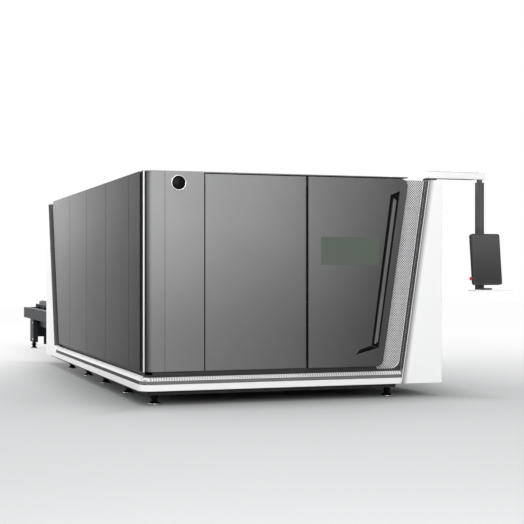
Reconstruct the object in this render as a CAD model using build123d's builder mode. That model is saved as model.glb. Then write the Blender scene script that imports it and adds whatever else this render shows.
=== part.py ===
from build123d import *
import math
import os

# Enclosed sheet-metal laser cutting machine with an exchange table at its rear.
# Sizes are in millimetres. Places are measured from the near corner of the cabin:
# x to the right along the front, y back along the left side, z up from the floor.
# left_x and front_y put that corner in the finished model's frame, whose origin
# lies on the floor under the middle of everything.

os.makedirs("parts", exist_ok=True)

# Cabin
cabin_width = 3198.0
cabin_length = 5926.0
body_bottom = 327.0
body_top = 2300.0
panel_depth = 25.0
sheet = 2.0
edge_round = 4.0
panel_gap = 3.0
shadow_gap = 12.0
proud = 30.0
pillar_top = 2275.0
skirt_bottom = 139.0
skirt_top = 200.0

# Front, from left to right
corner_start = 34.0
corner_radius = 71.0
corner_seam = 222.0
badge_seam = 620.0
door_seam = 1700.0
door_edge_mid = 2709.0
door_lean = 0.155
mid_height = 1430.0
pillar_edge_mid = 2943.0
pillar_lean = 0.150
pillar_depth = 170.0
pillar_round = 55.0
side_round = 12.0
band_recess = 80.0
mesh_sheet = 4.0
hidden_lap = 40.0

# Left side, from front to rear
side_start = 146.0
side_seams = (648.0, 1829.0, 2990.0, 4163.0)
side_edge_mid = 5320.0
side_lean = 0.277
rear_pillar_mid = 5491.0
rear_pillar_lean = 0.269

# Skirt, sill and vent under the panels
skirt_corner = 105.0
sill_proud = 15.0
sill_low = 235.0
vent_low = 292.0
vent_recess = 40.0
sill_back = 90.0
skirt_back = 60.0

# Near corner light
light_width = 16.0
light_depth = 60.0

# Badge
badge_x = 358.0
badge_z = 2183.0
badge_radius = 70.0
badge_height = 16.0
badge_ring = 6.0

# Door
leaf_depth = 30.0
leaf_gap = 2.0
leaf_top = 2276.0
leaf_round = 70.0
slot_height = 12.0
roof_lip = 10.0
window_left = 1850.0
window_right = 2497.0
window_low = 1377.0
window_high = 1665.0
glass = 6.0
rail_size = 20.0
handle_bar = 18.0

# Bed and rails inside the cabin
bed_outer = 200.0
bed_inner = 370.0
bed_bottom = 139.0
bed_top = 900.0
bed_front = 330.0
bed_back = 5820.0
rail_width = 28.0
rail_height = 26.0
shoe_height = 24.0
frame_tube = 80.0
frame_bottom = 100.0
post_size = 60.0

# Gantry, carriage and head
beam_bottom = 1075.0
beam_top = 1375.0
beam_depth = 240.0
gantry_y = 950.0
head_x = 614.0
nozzle_z = 1040.0

# Exchange table and pallets
table_outer = 250.0
table_tube = 80.0
table_low = 500.0
table_high = 680.0
table_start = 6020.0
table_end = 10420.0
dock_width = 40.0
lift_clear = 20.0
lift_plate = 20.0
lift_stop = 330.0
pallet_rail = 65.0
pallet_side_x = 440.0
rail_reach = 80.0
opening_low = 395.0
opening_high = 860.0
tie_top = 380.0
pallet_rail_height = 12.0
rail_top = 640.0
level_pitch = 230.0
pallet_start = 6130.0
pallet_length = 4150.0
pallet_tube = 60.0
pallet_frame_low = 650.0
pallet_frame_high = 740.0
slat_count = 36
slat_thickness = 3.0
slat_seat = 60.0
slat_tip = 800.0
tooth_count = 20
tooth_depth = 14.0
wheel_radius = 40.0
wheel_width = 34.0
wheel_count = 5
running_gap = 0.3

# Feet
foot_pad = 62.0
foot_pad_height = 16.0
foot_stem = 30.0
feet_x = (150.0, 2668.0)
feet_y = (146.0, 1317.0, 2546.0, 3626.0, 4837.0)
table_feet_y = (6500.0, 9420.0)
leg_length = 380.0

# Console
pivot_x = 3165.0
pivot_y = 120.0
arm_reach = 590.0
arm_low = 2302.0
arm_high = 2390.0
arm_width = 100.0
post_width = 80.0
post_depth = 60.0
monitor_width = 344.0
monitor_height = 550.0
monitor_depth = 46.0
monitor_z = 1440.0
monitor_lean = 6.8
monitor_ahead = 130.0
monitor_round = 24.0
hinge_radius = 20.0
pin_radius = 8.0
pin_gap = 0.05
shelf_width = 440.0
shelf_depth = 200.0
shelf_thickness = 12.0
shelf_z = 1102.0
shelf_front = -220.0
button_radius = 20.0
button_travel = 5.0

# Cabinet on the right side
cabinet_start = 1500.0
cabinet_length = 1400.0
cabinet_depth = 400.0
cabinet_wall = 20.0
cabinet_low = 100.0
cabinet_high = 2000.0
source_clearance = 100.0
source_width = 600.0
source_height = 900.0
grip_inset = 60.0
grip_depth = 22.0
grip_width = 24.0
grip_low = 1080.0
grip_length = 160.0
knuckle_out = 10.0
knuckle_length = 70.0
knuckle_z = (260.0, 1015.0, 1770.0)

# Fume spigot on the roof
spigot_radius = 150.0
spigot_height = 70.0
spigot_wall = 3.0
spigot_x = 1614.0
spigot_y = 5200.0

# The finished model's frame
right_reach = pivot_x + arm_reach + shelf_width / 2
left_x = -(right_reach - proud) / 2
front_y = -(table_end + shelf_front) / 2
middle_x = (table_outer + (cabin_width + proud - table_outer)) / 2


def door_edge(z):
    """The x of the door's leaning right edge at a height."""
    return door_edge_mid + door_lean * (z - mid_height)


def pillar_edge(z):
    """The x of the front pillar's leaning left edge at a height."""
    return pillar_edge_mid + pillar_lean * (z - mid_height)


def side_edge(z):
    """The y of the last left panel's leaning rear edge at a height."""
    return side_edge_mid + side_lean * (z - mid_height)


def rear_pillar_edge(z):
    """The y of the rear pillar's leaning front edge at a height."""
    return rear_pillar_mid + rear_pillar_lean * (z - mid_height)


def mirrored(x):
    """The x on the other side of the cutting area's middle line."""
    return 2 * middle_x - x


def block(x0, x1, y0, y1, z0, z1, mode=Mode.ADD):
    """A box between two corners."""
    low_x, high_x = min(x0, x1), max(x0, x1)
    with Locations((left_x + (x0 + x1) / 2, front_y + (y0 + y1) / 2, (z0 + z1) / 2)):
        return Box(high_x - low_x, y1 - y0, z1 - z0, mode=mode)


def front_outline(points, plane_y, rounds=()):
    """An outline of x and z points seen from the front, with some corners rounded."""
    with BuildSketch(Plane.XZ.offset(-(front_y + plane_y))) as outline:
        with BuildLine():
            Polyline(*[(left_x + x, z) for x, z in points], close=True)
        make_face()
        for (x, z), radius in rounds:
            corner = outline.vertices().sort_by_distance(Vector(left_x + x, z, 0))[0]
            fillet(corner, radius)
    return outline.sketch


def side_outline(points, plane_x, rounds=()):
    """An outline of y and z points seen from the right, with some corners rounded."""
    with BuildSketch(Plane.YZ.offset(left_x + plane_x)) as outline:
        with BuildLine():
            Polyline(*[(front_y + y, z) for y, z in points], close=True)
        make_face()
        for (y, z), radius in rounds:
            corner = outline.vertices().sort_by_distance(Vector(front_y + y, z, 0))[0]
            fillet(corner, radius)
    return outline.sketch


def front_prism(points, y0, y1, rounds=(), mode=Mode.ADD):
    """A prism whose outline is seen from the front, from y0 back to y1."""
    return extrude(front_outline(points, y1, rounds), amount=y1 - y0, mode=mode)


def side_prism(points, x0, x1, rounds=(), mode=Mode.ADD):
    """A prism whose outline is seen from the side, from x0 to x1."""
    return extrude(side_outline(points, x0, rounds), amount=x1 - x0, mode=mode)


def front_tray(points, face_y, rounds=(), depth=panel_depth):
    """A folded sheet panel: its skin looks to the front and its edges turn back."""
    skin = front_outline(points, face_y + depth, rounds)
    extrude(skin, amount=depth)
    hollow = offset(skin, amount=-sheet, kind=Kind.INTERSECTION, mode=Mode.PRIVATE)
    extrude(hollow, amount=depth - sheet, mode=Mode.SUBTRACT)


def side_tray(points, face_x, depth, rounds=()):
    """A folded sheet panel on a side, its edges turned in by depth, signed along x."""
    skin = side_outline(points, face_x + depth, rounds)
    extrude(skin, amount=-depth)
    hollow = offset(skin, amount=-sheet, kind=Kind.INTERSECTION, mode=Mode.PRIVATE)
    extrude(hollow, amount=-(depth - math.copysign(sheet, depth)), mode=Mode.SUBTRACT)


def rectangle(a0, a1, b0, b1):
    """The four corners of a rectangle, in order."""
    return [(a0, b0), (a1, b0), (a1, b1), (a0, b1)]


def finish(piece, name):
    """Label a piece and write it."""
    piece.part.label = name
    export_step(piece.part, f"parts/{name}.step")


def finish_group(pieces, name):
    """Label several separate pieces that share one node and write them."""
    group = Compound(label=name, children=[solid for piece in pieces for solid in piece.part.solids()])
    export_step(group, f"parts/{name}.step")


# Front panels

with BuildPart() as corner_panel:
    inner_radius = corner_radius - sheet
    for radius, inset, mode in ((corner_radius, 0.0, Mode.ADD), (inner_radius, sheet, Mode.SUBTRACT)):
        back = light_depth + 40.0 + (1.0 if inset else 0.0)
        with BuildSketch(Plane.XY.offset(body_bottom)) as plan:
            with BuildLine():
                start_x = left_x + corner_start + inset
                centre_x = left_x + corner_start + corner_radius
                centre_y = front_y + corner_radius
                end_x = left_x + corner_seam - panel_gap + (1.0 if inset else 0.0)
                side = Line((start_x, front_y + back), (start_x, centre_y))
                arc = RadiusArc(side @ 1, (centre_x, front_y + inset), -radius)
                face = Line(arc @ 1, (end_x, front_y + inset))
                edge = Line(face @ 1, (end_x, front_y + panel_depth))
                turn = Line(edge @ 1, (centre_x, front_y + back))
                Line(turn @ 1, side @ 0)
            make_face()
        extrude(amount=body_top - roof_lip - body_bottom, mode=mode)
finish(corner_panel, "corner_panel")

with BuildPart() as badge_panel:
    front_tray(rectangle(corner_seam, badge_seam, body_bottom, body_top - roof_lip), 0.0)
finish(badge_panel, "badge_panel")

with BuildPart() as badge:
    with BuildSketch(Plane.XZ.offset(-front_y)) as disc:
        with Locations((left_x + badge_x, badge_z)):
            Circle(badge_radius)
    extrude(amount=badge_height)
    fillet(badge.edges().group_by(Axis.Y)[0], badge_height * 0.6)
with BuildPart() as badge_rim:
    with BuildSketch(Plane.XZ.offset(-front_y)) as ring:
        with Locations((left_x + badge_x, badge_z)):
            Circle(badge_radius + badge_ring)
            Circle(badge_radius, mode=Mode.SUBTRACT)
    extrude(amount=badge_ring)
finish_group((badge, badge_rim), "badge")

slot_low = body_top - roof_lip - slot_height
with BuildPart() as middle_panel:
    front_tray(rectangle(badge_seam + shadow_gap, door_seam, body_bottom, slot_low), 0.0)
finish(middle_panel, "middle_panel")

# Sliding door

leaf_left = door_seam + shadow_gap
leaf_back = -leaf_gap
leaf_face = leaf_back - leaf_depth
leaf_points = [
    (leaf_left, body_bottom),
    (door_edge(body_bottom), body_bottom),
    (door_edge(leaf_top), leaf_top),
    (leaf_left, leaf_top),
]
leaf_rounds = (
    ((door_edge(leaf_top), leaf_top), leaf_round),
    ((door_edge(body_bottom), body_bottom), leaf_round),
)
groove_points = [(2630.0, 2108.0), (2738.0, 2150.0), (2492.0, 515.0), (2414.0, 543.0)]
groove_tail = [(2230.0, 448.0), (2492.0, 515.0), (2414.0, 543.0), (2287.0, 505.0)]
groove_depth = 24.0

with BuildPart() as door_leaf:
    front_prism(leaf_points, leaf_face, leaf_back, leaf_rounds)
    front_edges = door_leaf.edges().group_by(Axis.Y)[0]
    fillet(front_edges, edge_round)
    block(window_left, window_right, leaf_face - 1, leaf_back + 1, window_low, window_high, Mode.SUBTRACT)
    front_prism(groove_points, leaf_face - 1, leaf_face + groove_depth, mode=Mode.SUBTRACT)
    front_prism(groove_tail, leaf_face - 1, leaf_face + groove_depth / 2, mode=Mode.SUBTRACT)
finish(door_leaf, "door_leaf")

with BuildPart() as door_window:
    block(window_left, window_right, leaf_face, leaf_face + glass, window_low, window_high)
finish(door_window, "door_window")

with BuildPart() as door_handle:
    bar_top, bar_low = 2070.0, 560.0
    lean = (2684.0 - 2453.0) / (2129.0 - 529.0)
    bar_x = 2684.0 - lean * (2129.0 - bar_top)
    low_x = 2684.0 - lean * (2129.0 - bar_low)
    half = handle_bar / 2
    bar = [(low_x - half, bar_low), (low_x + half, bar_low), (bar_x + half, bar_top), (bar_x - half, bar_top)]
    front_prism(bar, leaf_face + 2.0, leaf_face + groove_depth)
    handle_edges = door_handle.edges().group_by(Axis.Y)[0]
    fillet(handle_edges, edge_round)
finish(door_handle, "door_handle")

hanger_x = (leaf_left + 120.0, door_edge(mid_height) - 120.0)
hanger_width = 90.0
rail_y = 40.0
with BuildPart() as door_hangers:
    for x in hanger_x:
        tongue_low = slot_low + (slot_height - 6.0) / 2
        block(x, x + hanger_width, leaf_back, rail_y + 30.0, tongue_low, tongue_low + 6.0)
        block(x, x + hanger_width, rail_y + 30.0, rail_y + 36.0, slot_low - 100.0, tongue_low + 6.0)
        block(x, x + hanger_width, leaf_back, leaf_back + 1.0, leaf_top - 40.0, tongue_low)
finish(door_hangers, "door_hangers")

with BuildPart() as door_rail:
    rail_back = rail_y + 36.0 + running_gap
    block(badge_seam + 30.0, door_edge(mid_height) + hidden_lap, rail_back, rail_back + rail_size,
          slot_low - 90.0, slot_low - 30.0)
finish(door_rail, "door_rail")

# Perforated bands beside the leaning edges

band_low = vent_low
band_high = pillar_top - 5.0
with BuildPart() as front_band:
    facet = [
        (door_edge(band_low) - hidden_lap, band_low),
        (pillar_edge(band_low), band_low),
        (pillar_edge(band_high), band_high),
        (door_edge(band_high) - hidden_lap, band_high),
    ]
    front_prism(facet, band_recess, band_recess + mesh_sheet)
    cheek = [
        (pillar_edge(band_low) - mesh_sheet, band_low),
        (pillar_edge(band_low), band_low),
        (pillar_edge(band_high), band_high),
        (pillar_edge(band_high) - mesh_sheet, band_high),
    ]
    front_prism(cheek, -proud + pillar_round, band_recess)
finish(front_band, "front_mesh_band")

with BuildPart() as rear_band:
    facet = [
        (side_edge(band_low) - hidden_lap, band_low),
        (rear_pillar_edge(band_low), band_low),
        (rear_pillar_edge(band_high), band_high),
        (side_edge(band_high) - hidden_lap, band_high),
    ]
    side_prism(facet, band_recess, band_recess + mesh_sheet)
    cheek = [
        (rear_pillar_edge(band_low) - mesh_sheet, band_low),
        (rear_pillar_edge(band_low), band_low),
        (rear_pillar_edge(band_high), band_high),
        (rear_pillar_edge(band_high) - mesh_sheet, band_high),
    ]
    side_prism(cheek, -proud + pillar_round, band_recess)
finish(rear_band, "rear_mesh_band")

# White pillars

right_face = cabin_width + proud
rear_face = cabin_length + proud
pillar_points = [
    (pillar_edge(skirt_bottom), skirt_bottom),
    (right_face, skirt_bottom),
    (right_face, pillar_top),
    (pillar_edge(pillar_top), pillar_top),
]
with BuildPart() as front_pillar:
    front_prism(pillar_points, -proud, pillar_depth)
    leaning = front_pillar.edges().group_by(Axis.Y)[0].filter_by(Axis.X, reverse=True).sort_by(Axis.X)
    fillet(leaning[0], pillar_round)
    outer = front_pillar.edges().filter_by(Axis.Z).group_by(Axis.Y)[0].sort_by(Axis.X)[-1]
    fillet(outer, side_round)
    inside = [
        (pillar_edge(skirt_bottom) + pillar_round, skirt_bottom + sheet),
        (right_face - sheet, skirt_bottom + sheet),
        (right_face - sheet, pillar_top - sheet),
        (pillar_edge(pillar_top) + pillar_round, pillar_top - sheet),
    ]
    front_prism(inside, -proud + side_round, pillar_depth + 1, mode=Mode.SUBTRACT)
finish(front_pillar, "front_pillar")

rear_points = [
    (rear_pillar_edge(skirt_bottom), skirt_bottom),
    (rear_face, skirt_bottom),
    (rear_face, pillar_top),
    (rear_pillar_edge(pillar_top), pillar_top),
]
with BuildPart() as rear_pillar:
    side_prism(rear_points, -proud, pillar_depth)
    leaning = rear_pillar.edges().group_by(Axis.X)[0].filter_by(Axis.Y, reverse=True).sort_by(Axis.Y)
    fillet(leaning[0], pillar_round)
    outer = rear_pillar.edges().filter_by(Axis.Z).group_by(Axis.X)[0].sort_by(Axis.Y)[-1]
    fillet(outer, side_round)
    inside = [
        (rear_pillar_edge(skirt_bottom) + pillar_round, skirt_bottom + sheet),
        (rear_face - sheet, skirt_bottom + sheet),
        (rear_face - sheet, pillar_top - sheet),
        (rear_pillar_edge(pillar_top) + pillar_round, pillar_top - sheet),
    ]
    side_prism(inside, -proud + side_round, pillar_depth + 1, mode=Mode.SUBTRACT)
finish(rear_pillar, "rear_pillar")

with BuildPart() as far_pillar:
    far_start = rear_pillar_edge(mid_height)
    block(cabin_width - pillar_depth, right_face, far_start, rear_face, skirt_bottom, pillar_top)
    block(cabin_width - pillar_depth - 1, right_face - sheet, far_start + sheet, rear_face - sheet,
          skirt_bottom + sheet, pillar_top - sheet, Mode.SUBTRACT)
finish(far_pillar, "far_pillar")

# Skirt, sill and vent, with quarter-round pieces at the near corner

skirt_end = pillar_edge(skirt_bottom)
side_skirt_end = rear_pillar_edge(skirt_bottom)
corner_centre = (left_x + skirt_corner, front_y + skirt_corner)


def corner_turn(profile):
    """A quarter-round piece about the near corner's centre from radius and z points."""
    turn_plane = Plane((corner_centre[0], corner_centre[1], 0), x_dir=(-1, 0, 0), z_dir=(0, 1, 0))
    with BuildSketch(turn_plane) as section:
        with BuildLine():
            Polyline(*profile, close=True)
        make_face()
    axis = Axis((corner_centre[0], corner_centre[1], 0), (0, 0, 1))
    revolve(section.sketch, axis=axis, revolution_arc=90)


with BuildPart() as skirt:
    skirt_points = [
        (skirt_corner, skirt_bottom),
        (skirt_end, skirt_bottom),
        (pillar_edge(skirt_top), skirt_top),
        (skirt_corner, skirt_top),
    ]
    front_prism(skirt_points, -proud, skirt_back)
    fillet(skirt.edges().filter_by(Axis.X).group_by(Axis.Y)[0], edge_round)

with BuildPart() as side_skirt:
    skirt_points = [
        (skirt_corner, skirt_bottom),
        (side_skirt_end, skirt_bottom),
        (rear_pillar_edge(skirt_top), skirt_top),
        (skirt_corner, skirt_top),
    ]
    side_prism(skirt_points, -proud, skirt_back)
    fillet(side_skirt.edges().filter_by(Axis.Y).group_by(Axis.X)[0], edge_round)

with BuildPart() as corner_skirt:
    corner_turn(rectangle(0.0, skirt_corner + proud, skirt_bottom, skirt_top))
    fillet(corner_skirt.edges().filter_by(GeomType.CIRCLE), edge_round)

with BuildPart() as right_skirt:
    block(cabin_width - 2 * panel_depth, cabin_width, pillar_depth, far_start, skirt_bottom,
          body_bottom - panel_gap)
finish_group((skirt, side_skirt, corner_skirt, right_skirt), "skirt")

sill_section = [
    (-sill_proud, skirt_top),
    (-sill_proud, sill_low),
    (vent_recess, vent_low),
    (sill_back, vent_low),
    (sill_back, skirt_top),
]
with BuildPart() as front_sill:
    side_prism(sill_section, skirt_corner, pillar_edge(vent_low))
    end_cut = [
        (pillar_edge(skirt_top), skirt_top),
        (pillar_edge(vent_low), vent_low),
        (pillar_edge(vent_low) + proud, vent_low),
        (pillar_edge(vent_low) + proud, skirt_top),
    ]
    front_prism(end_cut, -proud, sill_back + proud, mode=Mode.SUBTRACT)

with BuildPart() as left_sill:
    front_prism(sill_section, skirt_corner, rear_pillar_edge(vent_low))
    end_cut = [
        (rear_pillar_edge(skirt_top), skirt_top),
        (rear_pillar_edge(vent_low), vent_low),
        (rear_pillar_edge(vent_low) + proud, vent_low),
        (rear_pillar_edge(vent_low) + proud, skirt_top),
    ]
    side_prism(end_cut, -proud, sill_back + proud, mode=Mode.SUBTRACT)
finish(left_sill, "left_sill")

with BuildPart() as corner_sill:
    corner_turn([(skirt_corner - x if x < sill_back else 0.0, z) for x, z in sill_section])
finish_group((front_sill, corner_sill), "front_sill")

with BuildPart() as vents:
    vent_end = door_edge(body_bottom) - hidden_lap
    block(skirt_corner, vent_end, vent_recess, vent_recess + mesh_sheet, vent_low, body_bottom)
    side_vent_end = side_edge(body_bottom) - hidden_lap
    block(vent_recess, vent_recess + mesh_sheet, skirt_corner, side_vent_end, vent_low, body_bottom)
finish(vents, "vent_strips")

# Near corner: a lit strip in a dark recess

with BuildPart() as corner_light:
    with BuildSketch(Plane.XY.offset(body_bottom)) as plan:
        with BuildLine():
            Polyline(
                (left_x, front_y + light_depth),
                (left_x + light_width / 3, front_y + light_depth / 3),
                (left_x + light_width, front_y + edge_round),
                (left_x + light_width, front_y + light_depth),
                close=True,
            )
        make_face()
    extrude(amount=body_top - roof_lip - body_bottom)
finish(corner_light, "corner_light")

with BuildPart() as corner_post:
    post_front = light_depth + panel_gap
    block(light_width, light_width + 12.0, light_width + panel_gap, post_front, body_bottom,
          body_top - roof_lip)
    block(vent_recess / 2, corner_start, post_front, side_start - 10.0, body_bottom, body_top - roof_lip)

# Left side panels

edges = (side_start,) + side_seams
left_panels = []
for index, start in enumerate(edges):
    with BuildPart() as side_panel:
        if index + 1 < len(edges):
            stop = edges[index + 1] - panel_gap
            side_tray(rectangle(start, stop, body_bottom, body_top - roof_lip), 0.0, panel_depth)
        else:
            lean = [
                (start, body_bottom),
                (side_edge(body_bottom), body_bottom),
                (side_edge(body_top - roof_lip), body_top - roof_lip),
                (start, body_top - roof_lip),
            ]
            rounds = (
                ((side_edge(body_bottom), body_bottom), leaf_round),
                ((side_edge(body_top - roof_lip), body_top - roof_lip), leaf_round),
            )
            side_tray(lean, 0.0, panel_depth, rounds)
    left_panels.append(side_panel)
finish_group(left_panels, "left_panels")

# Right side: plain panels, and an electrical cabinet that stands against them

with BuildPart() as right_panels:
    right_edges = (pillar_depth,) + side_seams + (far_start,)
    for start, stop in zip(right_edges, right_edges[1:]):
        outline = rectangle(start, stop - panel_gap, body_bottom, body_top - roof_lip)
        side_tray(outline, cabin_width, -panel_depth)
finish(right_panels, "right_panels")

cabinet_end = cabinet_start + cabinet_length
cabinet_back = cabin_width + running_gap
cabinet_mouth = cabinet_back + cabinet_depth
with BuildPart() as cabinet_case:
    inner_back = cabinet_back + cabinet_wall
    block(cabinet_back, inner_back, cabinet_start, cabinet_end, cabinet_low, cabinet_high)
    for y0 in (cabinet_start, cabinet_end - cabinet_wall):
        block(inner_back, cabinet_mouth, y0, y0 + cabinet_wall, cabinet_low, cabinet_high)
    for z0 in (cabinet_low, cabinet_high - cabinet_wall):
        block(inner_back, cabinet_mouth, cabinet_start + cabinet_wall, cabinet_end - cabinet_wall,
              z0, z0 + cabinet_wall)
    plinth = 2 * panel_depth
    block(cabinet_back + plinth, cabinet_mouth - plinth, cabinet_start + plinth, cabinet_end - plinth,
          0.0, cabinet_low)
finish(cabinet_case, "cabinet_case")

with BuildPart() as laser_source:
    block(inner_back, cabinet_mouth - source_clearance, cabinet_start + source_clearance,
          cabinet_start + source_clearance + source_width, cabinet_low + cabinet_wall,
          cabinet_low + cabinet_wall + source_height)
    fillet(laser_source.edges().filter_by(Axis.Z), edge_round)
finish(laser_source, "laser_source")

door_half = cabinet_length / 2
for index, side in enumerate(("front", "rear")):
    with BuildPart() as cabinet_door:
        door_start = cabinet_start + index * door_half + panel_gap / 2
        door_stop = door_start + door_half - panel_gap
        door_face = cabinet_mouth + running_gap + panel_depth
        side_tray(rectangle(door_start, door_stop, cabinet_low, cabinet_high), door_face, -panel_depth)
        grip_y = door_start + grip_inset if index else door_stop - grip_inset
        block(door_face, door_face + grip_depth, grip_y - grip_width / 2, grip_y + grip_width / 2,
              grip_low, grip_low + grip_length)
        hinge_side = cabinet_end + knuckle_out if index else cabinet_start - knuckle_out
        leaf_side = door_stop - knuckle_out if index else door_start + knuckle_out
        for z in knuckle_z:
            block(door_face - 6.0, door_face - 1.0, min(hinge_side, leaf_side), max(hinge_side, leaf_side),
                  z, z + knuckle_length)
            with Locations((left_x + door_face - pin_radius, front_y + hinge_side, z + knuckle_length / 2)):
                Cylinder(pin_radius, knuckle_length)
    finish(cabinet_door, f"cabinet_door_{side}")

# Rear wall around the pallet opening, its lifting shutter and the shutter's guides

opening_left = pallet_side_x - rail_reach
opening_right = mirrored(opening_left)
wall_depth = 20.0
wall_face = cabin_length - wall_depth
with BuildPart() as rear_wall:
    wall_right = cabin_width - pillar_depth
    block(pillar_depth, opening_left, wall_face, cabin_length, opening_low, opening_high)
    block(opening_right, wall_right, wall_face, cabin_length, opening_low, opening_high)
    block(pillar_depth, wall_right, wall_face, cabin_length, skirt_bottom, opening_low)
    block(pillar_depth, wall_right, wall_face, cabin_length, opening_high, body_top - roof_lip)

shutter_lap = 30.0
shutter_left = opening_left - shutter_lap
shutter_right = mirrored(shutter_left)
shutter_low = opening_high + shutter_lap / 3
shutter_high = shutter_low + opening_high - opening_low
shutter_front = cabin_length + running_gap
shutter_depth = 24.0
with BuildPart() as shutter:
    block(shutter_left, shutter_right, shutter_front, shutter_front + shutter_depth,
          shutter_low, shutter_high)
    fillet(shutter.edges().filter_by(Axis.X), edge_round)
finish(shutter, "rear_shutter")

with BuildPart() as shutter_guides:
    lip_start = shutter_front + shutter_depth + running_gap
    for sign, edge in ((-1, shutter_left - running_gap), (1, shutter_right + running_gap)):
        block(edge, edge + sign * shutter_lap, cabin_length, lip_start, opening_low, shutter_high)
        block(edge - sign * shutter_lap / 2, edge + sign * shutter_lap, lip_start, lip_start + edge_round,
              opening_low, shutter_high)
finish_group((rear_wall, shutter_guides), "rear_wall")

# Roof with the fume spigot

roof_rows = 4
header_end = door_edge(body_top)
roof_end = side_edge(body_top - roof_lip)
roof_step = (roof_end - pillar_depth) / roof_rows
step_back = 400.0
step_right = cabin_width - panel_depth - panel_gap
step_low = band_high - 14.0
step_high = band_high - 4.0
with BuildPart() as roof:
    block(corner_start, header_end, 0.0, light_depth, body_top - roof_lip, body_top)
    block(light_width, header_end, light_depth, pillar_depth, body_top - roof_lip, body_top)
    for row in range(roof_rows):
        start = pillar_depth + row * roof_step
        block(sheet, cabin_width - sheet, start + panel_gap, start + roof_step, body_top - roof_lip, body_top)
    block(header_end, cabin_width, pillar_depth, step_back, body_top - roof_lip, body_top, Mode.SUBTRACT)
    block(header_end - sheet, step_right, pillar_depth + panel_gap, step_back + sheet, step_low, step_high)
    block(header_end - sheet, header_end, pillar_depth + panel_gap, step_back + sheet, step_low, body_top)
    block(header_end, step_right, step_back, step_back + sheet, step_low, body_top)
    block(header_end - sheet, pillar_edge(step_low) - panel_gap, band_recess + 2 * mesh_sheet,
          pillar_depth + panel_gap, step_low, step_high)
    block(pillar_depth, cabin_width - pillar_depth, roof_end + panel_gap, cabin_length,
          body_top - roof_lip, body_top)
    with Locations((left_x + spigot_x, front_y + spigot_y, body_top - roof_lip / 2)):
        Cylinder(spigot_radius - spigot_wall, 4 * roof_lip, mode=Mode.SUBTRACT)
finish(roof, "roof_panels")

with BuildPart() as spigot:
    with BuildSketch(Plane.XY.offset(body_top)) as flange:
        with Locations((left_x + spigot_x, front_y + spigot_y)):
            Circle(spigot_radius + panel_depth)
            Circle(spigot_radius - spigot_wall, mode=Mode.SUBTRACT)
    extrude(amount=spigot_wall)
    with BuildSketch(Plane.XY.offset(body_top + spigot_wall)) as tube:
        with Locations((left_x + spigot_x, front_y + spigot_y)):
            Circle(spigot_radius)
            Circle(spigot_radius - spigot_wall, mode=Mode.SUBTRACT)
    extrude(amount=spigot_height - spigot_wall)
finish(spigot, "fume_spigot")

# Base frame, posts, roof beams and bed

frame_front = 20.0
frame_rear = cabin_length + 4.0
frame_width = 170.0
outrigger_start = 545.0
with BuildPart() as base_frame:
    long_beams = ((2 * frame_front, 190.0), (2628.0, 2708.0))
    for x0, x1 in long_beams:
        block(x0, x1, frame_front, frame_rear, frame_bottom, skirt_bottom)
    cross_y = (frame_front, (frame_rear - frame_width) / 2, frame_rear - frame_width)
    for y0 in cross_y:
        block(long_beams[0][1], long_beams[1][0], y0, y0 + frame_width, frame_bottom, skirt_bottom)
    for y0 in (outrigger_start, cross_y[1], cross_y[2]):
        block(long_beams[1][1], cabin_width, y0, y0 + frame_width, frame_bottom, skirt_bottom)
finish(base_frame, "base_frame")

beam_y = rail_back + rail_size
beam_low = 2150.0
roof_beam = body_top - roof_lip - post_size
front_posts = (frame_front + 2 * frame_tube, badge_seam + shadow_gap, door_seam - post_size)
side_posts = (600.0, 1900.0, 3000.0, 3940.0, 4880.0)
left_post = sill_back + sheet
right_post = cabin_width - 2 * panel_depth - sheet - post_size
rear_post = wall_face - post_size
spacers = (body_bottom + post_size, mid_height, beam_low - 2 * post_size)
with BuildPart() as posts:
    for x in front_posts:
        block(x, x + post_size, beam_y, beam_y + post_size, skirt_bottom, beam_low)
    for x in front_posts[1:]:
        for z in spacers:
            block(x, x + post_size, panel_depth, beam_y, z, z + post_size)
    carrier_x = pivot_x - post_size / 2
    block(carrier_x, carrier_x + post_size, beam_y, beam_y + post_size, skirt_bottom + sheet,
          pillar_top - sheet)
    for y in side_posts:
        for x in (left_post, right_post):
            block(x, x + post_size, y, y + post_size, skirt_bottom, roof_beam)
    for x in (pillar_depth, cabin_width - pillar_depth - post_size):
        block(x, x + post_size, rear_post, wall_face, skirt_bottom, roof_beam)

with BuildPart() as roof_beams:
    for y in side_posts:
        block(left_post, right_post + post_size, y, y + post_size, roof_beam, body_top - roof_lip)
    block(pillar_depth, cabin_width - pillar_depth, rear_post, wall_face, roof_beam, body_top - roof_lip)
    block(front_posts[0], pillar_edge(beam_low), beam_y, beam_y + post_size, beam_low, roof_beam)
finish_group((posts, roof_beams, corner_post), "cabin_frame")

with BuildPart() as door_jamb:
    jamb = [
        (door_edge(body_bottom) - 1.5 * hidden_lap, body_bottom),
        (door_edge(body_bottom) - hidden_lap, body_bottom),
        (door_edge(roof_beam) - hidden_lap, roof_beam),
        (door_edge(roof_beam) - 1.5 * hidden_lap, roof_beam),
    ]
    front_prism(jamb, 0.0, band_recess)

with BuildPart() as threshold:
    block(door_seam - shadow_gap, door_edge(vent_low) - hidden_lap, vent_recess + mesh_sheet, beam_y,
          vent_low, body_bottom)
finish_group((door_jamb, threshold), "door_jamb")

bed_right = mirrored(bed_outer)
with BuildPart() as bed:
    for x0, x1 in ((bed_outer, bed_inner), (mirrored(bed_inner), bed_right)):
        block(x0, x1, bed_front, bed_back, bed_bottom, bed_top)
    tie_length = 150.0
    for y0 in (bed_front, (bed_front + bed_back - tie_length) / 2, bed_back - tie_length):
        block(bed_inner, mirrored(bed_inner), y0, y0 + tie_length, bed_bottom, tie_top)
finish(bed, "bed_frame")

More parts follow.
